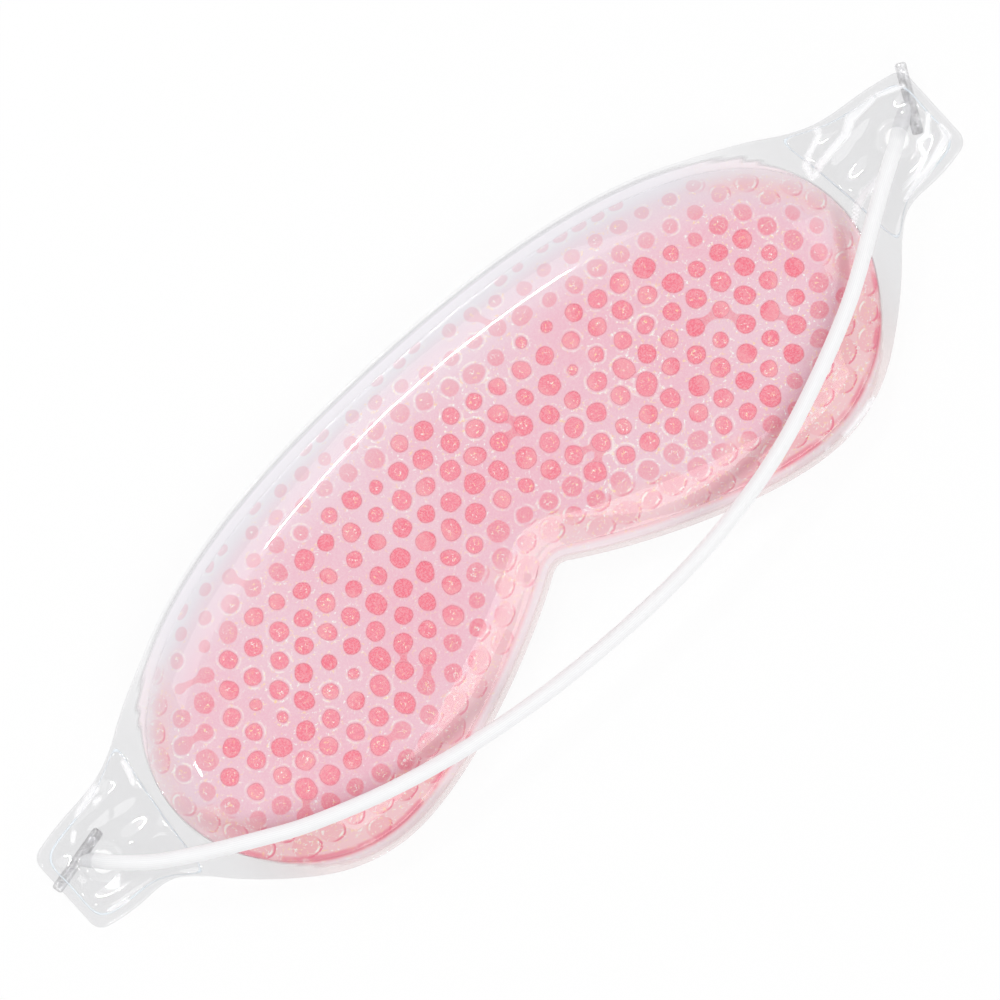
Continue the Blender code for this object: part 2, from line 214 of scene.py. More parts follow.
def meshed(name: str, points: np.ndarray, faces: Sequence[FaceLoop]) -> bpy.types.Mesh:
    """A mesh from points and faces.

    Args:
        name: Its name.
        points: Its points.
        faces: Its faces, as numbers of points.

    Returns:
        The mesh.
    """
    mesh = bpy.data.meshes.new(name)
    mesh.from_pydata(points.tolist(), [], faces)
    return mesh


def face_out(mesh: bpy.types.Mesh, way: int = 0) -> None:
    """Make the faces of a mesh agree on their outer side.

    Args:
        mesh: The mesh.
        way: The sign of Z on an open sheet's outer side, or 0 for a closed form.
    """
    bm = bmesh.new()
    bm.from_mesh(mesh)
    bmesh.ops.recalc_face_normals(bm, faces=bm.faces)
    if sum(face.normal.z * face.calc_area() for face in bm.faces) * way < 0:
        bmesh.ops.reverse_faces(bm, faces=bm.faces)
    bm.to_mesh(mesh)
    bm.free()


def write_marks(mesh: bpy.types.Mesh, marks: Mapping[str, np.ndarray]) -> None:
    """Write values on a mesh's points for its finish to read.

    Args:
        mesh: The mesh.
        marks: For each mark one value at each point.
    """
    for name, data in marks.items():
        layer = mesh.attributes.new(name, "FLOAT", "POINT")
        layer.data.foreach_set("value", np.ascontiguousarray(data, dtype=np.float32))


@dataclass(frozen=True)
class PouchOutline:
    """Weld line of the pouch, drawn for the right half and mirrored for the left."""

    crest: float = 0.0350  # height of the forehead edge over the middle
    temple: Pair = (0.0910, -0.0030)
    cheek: Pair = (0.0580, -0.0350)  # lowest point of a lobe
    notch: float = -0.0145
    notch_round: float = 0.0040
    nose_angle: float = math.radians(32)
    # how far each curve runs on: forehead, temple up, temple down, cheek out, cheek in and nose
    handles: tuple[float, ...] = (0.064, 0.022, 0.016, 0.018, 0.0155, 0.015)
    inset_steps: int = 72
    block: int = 4000

    def edges(self, columns: int) -> tuple[np.ndarray, np.ndarray]:
        """The right half's forehead edge and lower edge.

        Args:
            columns: How many even steps each edge is read in.

        Returns:
            Both edges from the fold to the temple.
        """
        forehead, up, down, out, inner, nose_reach = self.handles
        crest, temple = np.array([0, self.crest]), np.array(self.temple)
        cheek, apex = np.array(self.cheek), np.array([0, self.notch])
        fall = np.array([math.cos(self.nose_angle), -math.sin(self.nose_angle)])
        nose = apex + [self.notch_round, -self.notch_round * math.tan(self.nose_angle) / 2]
        third = self.notch_round / 3
        upper = bezier(crest, crest + [forehead, 0], temple + [0, up], temple)
        notch = bezier(apex, apex + [third, 0], nose - fall * third, nose)
        side = bezier(nose, nose + fall * nose_reach, cheek - [inner, 0], cheek)
        end = bezier(cheek, cheek + [out, 0], temple - [0, down], temple)
        lower = np.concatenate([notch, side[1:], end[1:]])
        return even(upper, columns + 1), even(lower, columns + 1)

    def right_half(self, columns: int) -> np.ndarray:
        """The right half's weld line from the crest, round the temple, to the notch."""
        upper, lower = self.edges(columns)
        return np.concatenate([upper, lower[-2::-1]])

    def inset(self, xy: np.ndarray) -> np.ndarray:
        """Signed distance in plan from the weld line.

        Args:
            xy: Points in plan.

        Returns:
            The distance of each point, positive inside the pouch.
        """
        line = self.right_half(self.inset_steps)
        start, along = line[:-1], np.diff(line, axis=0)
        spans = (along ** 2).sum(axis=1)
        run = np.where(along[:, 0] == 0, TINY, along[:, 0])
        folded = np.stack([np.abs(xy[:, 0]), xy[:, 1]], axis=1)
        result = np.empty(len(folded))
        for first in range(0, len(folded), self.block):
            part = folded[first:first + self.block, None]
            x, y = part[..., 0], part[..., 1]
            offset = part - start
            share = np.clip((offset * along).sum(axis=2) / spans, 0, 1)
            gap = np.linalg.norm(offset - share[..., None] * along, axis=2).min(axis=1)
            crosses = (start[:, 0] > x) != (line[1:, 0] > x)
            height = start[:, 1] + (x - start[:, 0]) / run * along[:, 1]
            above = (crosses & (height > y)).sum(axis=1)
            result[first:first + self.block] = np.where(above % 2 == 1, gap, -gap)
        return result


@dataclass
class PouchForm:
    """Heights of the two films over the plan, kept as a raster of distances from the weld."""

    outline: PouchOutline = field(default_factory=PouchOutline)
    film: float = 0.00035
    weld_level: float = 0.0055
    lobe: float = 0.0118  # thickness over the eyes
    bridge: float = 0.0108  # thickness over the nose
    shoulders: Pair = (0.015, 0.010)  # how far the front and the rear film run in before they are level
    power: float = 2.6  # how round the shoulders are
    fillet: float = 0.05  # how softly they leave the weld
    raster: Pair = (0.097, 0.041)  # how far the raster runs along and across the mask
    step: float = 0.0005
    rounding: int = 10
    slope_reach: float = 0.0006
    climb: Pair = (-0.030, 0.034)  # where the mask's upper part starts and where it is full
    # depth where the gel's pink starts low down, and how much deeper that is higher up
    pink_from: Pair = (-0.004, 0.0045)
    pink_full: Pair = (0.007, 0.010)  # the same for where the pink is full

    def __post_init__(self) -> None:
        """Read the distance from the weld on a raster and round off its ridges."""
        self.lines = [np.arange(-end, end + self.step / 5, self.step) for end in self.raster]
        grid = np.stack(np.meshgrid(*self.lines, indexing="ij"), axis=-1)
        depth = self.outline.inset(grid.reshape(-1, 2)).reshape(grid.shape[:2])
        for _ in range(self.rounding):
            wide = np.pad(depth, 1, mode="edge")
            depth = (2 * depth + wide[:-2, 1:-1] + wide[2:, 1:-1]
                     + wide[1:-1, :-2] + wide[1:-1, 2:]) / 6
        self.depths = depth

    def depth(self, xy: np.ndarray) -> np.ndarray:
        """Distance inside the weld, read from the raster.

        Args:
            xy: Points in plan.

        Returns:
            The distance of each point.
        """
        column, row = (np.clip((xy[:, axis] - lines[0]) / self.step, 0, len(lines) - LAST_CELL)
                       for axis, lines in enumerate(self.lines))
        i, j = column.astype(int), row.astype(int)
        u, v = column - i, row - j
        near = self.depths[i, j] * (1 - v) + self.depths[i, j + 1] * v
        far = self.depths[i + 1, j] * (1 - v) + self.depths[i + 1, j + 1] * v
        return near * (1 - u) + far * u

    def height(self, xy: np.ndarray, face: Face) -> np.ndarray:
        """Height of a film's inner face.

        Args:
            xy: Points in plan.
            face: Which film.

        Returns:
            The height of each point.
        """
        share = np.clip(self.depth(xy) / face.pick(self.shoulders), 0, 1)
        share = share ** 2 / (share + self.fillet)
        rise = 1 - (1 - share) ** self.power
        if face is Face.REAR:
            return self.weld_level - (self.weld_level - self.film) * rise
        swell = smoothstep(0, self.outline.cheek[0], np.abs(xy[:, 0]))
        crown = self.bridge + (self.lobe - self.bridge) * swell - self.film
        return self.weld_level + (crown - self.weld_level) * rise

    def normal(self, xy: np.ndarray, face: Face) -> np.ndarray:
        """Outward direction of a film.

        Args:
            xy: Points in plan.
            face: Which film.

        Returns:
            A unit vector for each point.
        """
        slope = rises(lambda at: self.height(at, face), xy, self.slope_reach)
        slope = slope / (2 * self.slope_reach)
        return unit(np.column_stack([-slope, np.ones(len(xy))]) * face.value)

    def upward(self, plan: np.ndarray) -> np.ndarray:
        """How far up the mask each point lies."""
        return smoothstep(*self.climb, plan[:, 1])

    def warmth(self, plan: np.ndarray) -> np.ndarray:
        """How much of the gel's pink shows through the front film.

        Args:
            plan: Points in plan.

        Returns:
            A share for each point, least along the upper weld.
        """
        upper = self.upward(plan)
        low, high = (start + more * upper for start, more in (self.pink_from, self.pink_full))
        return smoothstep(low, high, np.clip(self.depth(plan), 0, None))


@dataclass(frozen=True)
class Settling:
    """How a honeycomb of beads is laid, shaken and pushed apart."""

    cells: int = 40
    reach: Pair = (0.095, 0.040)
    start_margin: float = 0.55  # how near to the weld a bead may start, as a share of the layer's margin
    end_margin: float = 0.8  # the same once the beads have settled
    shake: float = 0.00042
    rounds: int = 70
    closeness: float = 0.955  # least spacing of two beads, as a share of the pitch
    sight: float = 0.02
    push: float = 0.32  # share of an overlap that one round takes up
    nudge: float = 0.0004
    retreat: float = 0.6  # share of the way back from the weld that one round takes up


@dataclass(frozen=True)
class DotChances:
    """How the clear dots that beads press on a film differ. Radii and widths are in millimetres."""

    size: Pair = (1.80, 0.14)  # mean and spread of a dot's radius
    limits: Pair = (1.45, 2.1)
    small_share: float = 0.05
    small: Pair = (1.0, 1.4)
    squeeze: float = 0.26  # how much smaller the dots are along the upper weld
    squeeze_depths: Pair = (0.013, 0.003)  # depths where that starts and where it is full
    shelf_depth: float = 0.0128  # depth inside the weld up to which a dot is painted on the misted film
    pink_reach: float = 0.018  # how far the pinkness of a deep spot reaches
    # least tone of a bead, the range of tones, and how much a deep spot takes off
    tone: Point = (0.25, 0.75, 0.5)
    stretch: float = 0.09
    pressed: float = 0.95  # greatest radius of a bead's pressed face, as a share of the bead's
    neck_span: float = 1.12  # greatest spacing of beads that a neck joins, as a share of the pitch
    neck_share: float = 0.017
    neck: Pair = (0.55, 0.95)
    waist: float = 0.75
    neck_blend: float = 0.7  # how softly a neck runs into a dot
    wobble: float = 0.09
    waves: tuple[Wave, ...] = (
        (0.0027, 25, 0.3, 0.5), (0.0038, 95, 1.9, 0.6), (0.0021, 150, 0.8, 0.4))
    neighbours: int = 3


@dataclass(frozen=True)
class SquashedRow:
    """Marks of small beads squashed into the wedge along the upper weld, where no whole bead fits."""

    steps: int = 150
    end: float = 0.076
    inset: Pair = (0.0002, 0.0010)
    spacing: float = 0.74
    radius: Pair = (0.85, 1.10)  # least and greatest radius of a mark, in millimetres
    stretch: Pair = (1.25, 1.5)
    tone: Pair = (0.4, 1.0)


@dataclass
class BeadLayer:
    """One layer of gel beads pressed against a film, settled as a loose honeycomb."""

    form: PouchForm
    face: Face
    pitch: float = 0.00578
    bearing: float = 48.5
    radius: float = 0.00295
    margin: float = 0.0021  # how near to the weld a bead's middle may come
    headroom: float = 0.0019
    spread: float = 0.00070  # how far a bead is pressed flat beyond the clear dot that it makes
    low_way: Point = (0.34, -0.94, 0.0)  # direction in which liquid gathers on a bead
    # places round which the beads are pinkest
    deep_spots: tuple[Pair, ...] = ((-0.033, 0.003), (0.063, -0.008))
    seed: int = 11
    settling: Settling = Settling()
    chances: DotChances = DotChances()
    squashed: SquashedRow = SquashedRow()

    def __post_init__(self) -> None:
        """Settle the beads and work out where each touches the film."""
        self.random = np.random.default_rng(self.seed)
        self.places = self._settled()
        self._press()
        self.necks = self._necks()
        if self.face is Face.FRONT:
            self._squash_in()

    def _settled(self) -> np.ndarray:
        """Lay a honeycomb over the pouch, shake it and push overlapping beads apart.

        Returns:
            The beads' places in plan.
        """
        rule, depth = self.settling, self.form.depth
        turn = math.radians(self.bearing)
        along = np.array([math.cos(turn), math.sin(turn)]) * self.pitch
        across = np.array([-math.sin(turn), math.cos(turn)]) * self.pitch * math.sqrt(3) / 2
        steps = np.arange(-rule.cells, rule.cells + 1)
        i, j = np.meshgrid(steps, steps, indexing="ij")
        shift = (j % 2) * 0.5
        places = ((i + shift)[..., None] * along + j[..., None] * across).reshape(-1, 2)
        places = places[(np.abs(places) < rule.reach).all(axis=1)]
        places = places[depth(places) > self.margin * rule.start_margin]
        places = places + self.random.normal(0, rule.shake, places.shape)
        for _ in range(rule.rounds):
            offset = places[:, None] - places[None]
            gap = np.linalg.norm(offset, axis=2) + np.eye(len(places))
            push = np.clip(self.pitch * rule.closeness - gap, 0, None) * (gap < rule.sight)
            places = places + rule.push * (offset / gap[..., None] * push[..., None]).sum(axis=1)
            short = np.clip(self.margin - depth(places), 0, None)[:, None]
            inward = rises(depth, places, rule.nudge)
            inward /= np.maximum(np.linalg.norm(inward, axis=1), SMALL_SLOPE)[:, None]
            places = places + inward * short * rule.retreat
        room = self.form.height(places, Face.FRONT) - self.form.height(places, Face.REAR)
        return places[(depth(places) > self.margin * rule.end_margin) & (room > self.headroom)]

    def _press(self) -> None:
        """Press every bead against the film, each a little differently."""
        rule, random, count = self.chances, self.random, len(self.places)
        depth = self.form.depth(self.places)
        reach = random.normal(*rule.size, count)
        small = random.random(count) < rule.small_share
        reach = np.where(small, random.uniform(*rule.small, count), np.clip(reach, *rule.limits))
        upper = self.form.upward(self.places)
        squeeze = rule.squeeze * upper * smoothstep(*rule.squeeze_depths, depth)
        self.reach = reach * MM * (1 - squeeze)
        self.shelf = (depth < rule.shelf_depth).astype(float)
        gaps = [np.linalg.norm(self.places - spot, axis=1) for spot in self.deep_spots]
        pinkness = sum(np.exp(-(gap / rule.pink_reach) ** 2) for gap in gaps)
        least, spread, taken = rule.tone
        self.tone = np.clip(least + spread * random.random(count) - taken * pinkness, 0, 1)
        angle = random.uniform(0, math.pi, count)
        self.long_way = np.column_stack([np.cos(angle), np.sin(angle), np.zeros(count)])
        self.stretch = 1 + np.abs(random.normal(0, rule.stretch, count))
        self.touch = np.column_stack([self.places, self.form.height(self.places, self.face)])
        pressed = np.minimum(self.reach + self.spread, self.radius * rule.pressed)
        sink = np.sqrt(self.radius ** 2 - pressed ** 2)
        self.centres = self.touch - self.form.normal(self.places, self.face) * sink[:, None]

    def _necks(self) -> list[tuple[int, int, float]]:
        """Choose neighbours that a neck of liquid joins.

        Returns:
            Pairs of beads with the half width of the neck between them.
        """
        rule, pairs = self.chances, []
        for first in range(len(self.places)):
            gaps = np.linalg.norm(self.places - self.places[first], axis=1)
            for second in np.nonzero((gaps > 0) & (gaps < self.pitch * rule.neck_span))[0]:
                if second > first and self.random.random() < rule.neck_share:
                    pairs.append((first, int(second), self.random.uniform(*rule.neck) * MM))
        return pairs

    def _squash_in(self) -> None:
        """Add the marks of the row of small beads along the upper weld."""
        rule, random = self.squashed, np.random.default_rng(self.seed + 1)
        upper = self.form.outline.edges(rule.steps)[0]
        upper = upper[upper[:, 0] < rule.end]
        line = np.concatenate([upper[:0:-1] * [-1, 1], upper])
        way = unit(np.gradient(line, axis=0))
        inward = np.stack([way[:, 1], -way[:, 0]], axis=1)
        spots = line + inward * random.uniform(*rule.inset, len(line))[:, None]
        kept: list[int] = []
        for index, spot in enumerate(spots):
            others = np.concatenate([self.places, spots[kept]])
            if np.linalg.norm(others - spot, axis=1).min() > rule.spacing * self.pitch:
                kept.append(index)
        count = len(kept)
        level = self.form.height(spots[kept], self.face)
        added = {
            "touch": np.column_stack([spots[kept], level]),
            "long_way": np.column_stack([way[kept], np.zeros(count)]),
            "reach": random.uniform(*rule.radius, count) * MM,
            "stretch": random.uniform(*rule.stretch, count),
            "tone": random.uniform(*rule.tone, count),
            "shelf": np.ones(count),
        }
        for name, values in added.items():
            setattr(self, name, np.concatenate([getattr(self, name), values]))

    def contact(self, points: np.ndarray) -> dict[str, np.ndarray]:
        """How far points of the film are from the nearest wet contact.

        Args:
            points: Points on the film.

        Returns:
            For each point its signed distance in millimetres to a bead's contact, the same with the
            necks joined in, how far it lies on the bead's low side, that bead's tone, and whether
            the bead lies on the pouch's shelf along the weld.
        """
        rule = self.chances
        tree = KDTree(len(self.touch))
        for index, place in enumerate(self.touch):
            tree.insert(place, index)
        tree.balance()
        near = np.array([[bead for _, bead, _ in tree.find_n(point, rule.neighbours)]
                         for point in points])
        offset = points[:, None] - self.touch[near]
        along = (offset * self.long_way[near]).sum(axis=2)
        shrink = 1 - 1 / self.stretch[near] ** 2
        rims = (np.sqrt((offset ** 2).sum(axis=2) - along ** 2 * shrink) - self.reach[near]) / MM
        chosen = np.arange(len(points)), rims.argmin(axis=1)
        bead, away = near[chosen], offset[chosen]
        distance = rims[chosen] + rule.wobble * ripple(points[:, :2], rule.waves)
        lean = (away @ self.low_way) / np.maximum(np.linalg.norm(away, axis=1), SMALL_GAP)
        wetted = distance.copy()
        for first, second, width in self.necks:
            start, run = self.touch[first], self.touch[second] - self.touch[first]
            middle = start + run / 2
            close = np.nonzero(np.linalg.norm(points - middle, axis=1) < self.pitch)[0]
            share = np.clip(((points[close] - start) @ run) / (run @ run), 0, 1)
            gap = np.linalg.norm(points[close] - start - share[:, None] * run, axis=1)
            other = (gap - width * (rule.waist + np.abs(share - 0.5))) / MM
            here = wetted[close]
            mix = np.clip(0.5 + 0.5 * (other - here) / rule.neck_blend, 0, 1)
            wetted[close] = other * (1 - mix) + here * mix - rule.neck_blend * mix * (1 - mix)
        return {"contact": distance, "neck": wetted, "lean": lean,
                "chance": self.tone[bead], "shelf": self.shelf[bead]}


@dataclass(frozen=True)
class TabForm:
    """A tab at one end of the mask, with its puffed pocket and its strap hole, drawn for the right end."""

    end: float = 0.119
    end_height: float = 0.021
    corner: float = 0.003
    taper: float = math.radians(14)
    reach: float = 0.013
    edge_points: tuple[int, int, int] = (9, 52, 30)  # points on a corner, on a side and on the end
    margin: float = 0.0022  # width of the weld round the pocket
    root_margin: float = 0.0006  # the same along the flange
    margin_blend: int = 4
    border_rounding: int = 50
    lip: float = 0.00022
    puffs: Pair = (0.0016, 0.0008)  # how far the front and the rear of the pocket stand out
    # places of the pocket's first loops, as shares of the way to the hole
    pocket: tuple[float, ...] = (0.02, 0.045)
    # first place, last place and number of the loops that follow
    pocket_rest: tuple[float, float, int] = (0.075, 0.97, 36)
    crease_waves: tuple[Wave, ...] = ((0.0105, 62, 0.4, 0.16), (0.0160, 15, 2.1, 0.18))
    fold_way: Pair = (-0.19, 0.982)  # direction across the pocket's fold
    fold_length: float = 0.0092  # spacing of that fold's waves
    fold_bend: Point = (0.5, 0.007, 0.8)  # how much they bend, over which length, and their phase
    # shares of the plain puff, the creases and the fold in the pocket's height
    puff_shares: Point = (0.62, 0.5, 0.40)
    # places across the weld round the pocket, each with its share of weld_rise
    weld_rises: tuple[Pair, ...] = ((0.7, 0.4), (0.4, 0.6), (0.2, 0.9))
    weld_rise: float = 0.00012
    hole_radius: float = 0.0025
    collar: float = 0.0016
    # places across the weld round the hole, each with its share of collar_rise
    collar_rises: tuple[Pair, ...] = (
        (1.0, 0.0), (0.8, 0.5), (0.55, 1.0), (0.3, 0.9), (0.12, 0.5), (0.0, 0.0))
    collar_rise: float = 0.00022
    # where a painted highlight along a crease ends and where it is full, as shares of its half width
    glint_edge: Pair = (1.15, 0.55)
    # painted highlights along creases of the film, in millimetres from the hole: towards the end, up, and
    # half width
    left_crease_glints: tuple[tuple[Point, ...], ...] = (
        ((-16.6, 12.2, 0.5), (-16.2, 10.0, 0.6), (-15.2, 7.6, 0.4)),
        ((-8.8, 11.9, 0.8), (-5.4, 11.2, 0.7), (-2.1, 10.4, 0.4)),
        ((-7.0, 10.0, 0.6), (-8.1, 9.9, 0.5)),
        ((0.4, 8.2, 0.6), (1.8, 7.1, 0.5)),
        ((-0.6, -4.2, 0.5), (1.2, -5.5, 0.7), (2.5, -4.6, 0.6), (0.3, -4.2, 0.3)),
        ((5.6, -8.2, 0.5), (1.5, -9.2, 0.4)),
    )
    right_crease_glints: tuple[tuple[Point, ...], ...] = (  # the same at the right end
        ((2.0, 9.3, 0.6), (-4.2, 9.4, 1.1), (-7.1, 7.7, 0.8), (-15.2, 6.6, 0.8),
         (-17.2, 5.6, 0.5)),
        ((-10.8, 12.2, 0.7), (-11.1, 11.3, 0.5), (-15.5, 9.6, 0.6), (-17.4, 8.3, 0.7),
         (-18.2, 5.4, 0.4)),
        ((-8.3, -3.6, 0.9), (-12.4, -3.6, 0.8), (-15.4, -4.8, 0.7), (-18.0, -6.6, 0.4)),
        ((8.0, -0.6, 0.5), (5.0, -3.4, 0.7), (2.8, -3.3, 0.5), (1.7, -6.6, 0.6),
         (-2.0, -8.0, 0.7), (-6.2, -8.3, 0.4)),
        ((8.2, -4.0, 0.6), (7.8, -6.4, 0.9), (0.4, -8.9, 0.8), (-7.0, -10.2, 0.5)),
        ((8.2, 7.0, 0.4), (3.0, 9.2, 0.6)),
        ((-39.1, -36.0, 0.6), (-47.6, -36.8, 1.0)),
        ((-52.2, -36.6, 0.5), (-55.2, -35.4, 0.4)),
    )

    def folded(self, plan: np.ndarray) -> np.ndarray:
        """How far each point lies on a painted highlight along a crease of the film.

        Args:
            plan: Points in plan.

        Returns:
            1 on a painted highlight and 0 away from it.
        """
        white = np.zeros(len(plan))
        for side, glint_lines in ((Side.LEFT, self.left_crease_glints), (Side.RIGHT, self.right_crease_glints)):
            local = (plan * [side.value, 1] - [STRAP_HOLE, 0]) / MM
            for fold in glint_lines:
                for start, end in zip(np.array(fold), np.array(fold)[1:]):
                    way = end[:2] - start[:2]
                    share = np.clip((local - start[:2]) @ way / (way @ way), 0, 1)
                    off = np.linalg.norm(local - start[:2] - share[:, None] * way, axis=1)
                    width = start[2] + (end[2] - start[2]) * share
                    white = np.maximum(white, smoothstep(*self.glint_edge, off / width))
        return white

    def free_edge(self, leaves: np.ndarray, away: np.ndarray, returns: np.ndarray,
                  back: np.ndarray) -> np.ndarray:
        """The tab's free edge from the forehead side, round its end, to the cheek side.

        Args:
            leaves: Where it leaves the flange.
            away: Direction in which it leaves.
            returns: Where it comes back to the flange.
            back: Direction from which it comes back.

        Returns:
            Points of the edge, without the two on the flange.
        """
        on_corner, on_side, on_end = self.edge_points
        centre = np.array([self.end - self.corner, self.end_height / 2 - self.corner])
        angles = (math.pi / 2 - self.taper) * np.linspace(1, 0, on_corner)
        corner = centre + np.stack([np.cos(angles), np.sin(angles)], axis=1) * self.corner
        flip = np.array([1.0, -1.0])
        lower = corner[::-1] * flip
        lead = np.array([math.cos(self.taper), -math.sin(self.taper)]) * self.reach
        over = bezier(leaves, leaves + away * self.reach, corner[0] - lead, corner[0])
        under = bezier(lower[-1], lower[-1] - lead * flip, returns + back * self.reach, returns)
        end = np.linspace(corner[-1], lower[0], on_end)
        return np.concatenate([even(over, on_side)[1:], corner[1:], end[1:-1], lower,
                               even(under, on_side)[1:-1]])

    def _pocket_lift(self, plan: np.ndarray, share: float) -> np.ndarray:
        """How far one loop of the pocket stands out, as a share of its puff.

        Args:
            plan: The loop in plan.
            share: How far in from the pocket's border it lies.

        Returns:
            A share for each point.
        """
        bend, length, phase = self.fold_bend
        plain, creased, folded = self.puff_shares
        run = plan[:, 1] * self.fold_way[1] + plan[:, 0] * self.fold_way[0]
        wander = bend * np.sin(plan[:, 0] / length) + phase
        wave = np.cos(2 * math.pi * run / self.fold_length + wander)
        swell = math.sin(math.pi * share) ** 0.5
        return swell * (plain + creased * ripple(plan, self.crease_waves) + folded * wave)

    def rings(self, edge: np.ndarray, rooted: int,
              face: Face) -> list[tuple[np.ndarray, TabZone]]:
        """Loops from the tab's edge inwards to the strap hole.

        Args:
            edge: The tab's outline in plan.
            rooted: Where the outline starts to run along the flange.
            face: Which film.

        Returns:
            Loops of points with a height over the weld, each with its part of the tab.
        """
        hole = np.array([STRAP_HOLE, 0.0])
        inwards = unit(hole - edge)
        puff = face.pick(self.puffs) * face.value
        margin = np.where(np.arange(len(edge)) < rooted, self.margin, self.root_margin)
        turns = range(-self.margin_blend, self.margin_blend + 1)
        margin = sum(np.roll(margin, turn) for turn in turns)[:, None] / len(turns)
        border = edge + inwards * margin
        for _ in range(self.border_rounding):
            border = (np.roll(border, 1, axis=0) + 2 * border + np.roll(border, -1, axis=0)) / 4
        brim = hole - inwards * (self.hole_radius + self.collar)
        loops: list[tuple[np.ndarray, TabZone]] = []

        def add(plan: np.ndarray, lift: float | np.ndarray, zone: TabZone) -> None:
            """Keep one loop with its height and its part of the tab."""
            loops.append((np.column_stack([plan, np.broadcast_to(lift, len(plan))]), zone))

        for place, lift in self.weld_rises:
            lift *= self.weld_rise * face.value
            add(border + (edge - border) * place, lift, TabZone.WELD)
        add(border + unit(edge - border) * self.lip, 0.0, TabZone.LIP)
        add(border, 0.0, TabZone.LIP)
        for share in (*self.pocket, *np.linspace(*self.pocket_rest)):
            plan = border + (brim - border) * share
            add(plan, puff * self._pocket_lift(plan, share), TabZone.POCKET)
        for place, lift in self.collar_rises:
            plan = hole - inwards * (self.hole_radius + self.collar * place)
            add(plan, self.collar_rise * lift * face.value, TabZone.COLLAR)
        return loops


@dataclass
class Sheet:
    """An open sheet while it grows, loop by loop."""

    blocks: list[np.ndarray] = field(default_factory=list)
    zones: list[np.ndarray] = field(default_factory=list)  # the tab's mark at each point, 0 off the tabs
    faces: list[FaceLoop] = field(default_factory=list)
    total: int = 0

    def add(self, points: np.ndarray, zone: float = 0.0) -> list[int]:
        """Add points.

        Args:
            points: The points.
            zone: The tab's mark on them.

        Returns:
            Their numbers.
        """
        self.blocks.append(points)
        self.zones.append(np.full(len(points), zone))
        self.total += len(points)
        return list(range(self.total - len(points), self.total))

    def sew(self, outer: Sequence[int], inner: Sequence[int]) -> None:
        """Join two closed loops with a band of faces."""
        for i in range(len(outer)):
            self.faces.append((outer[i - 1], outer[i], inner[i], inner[i - 1]))


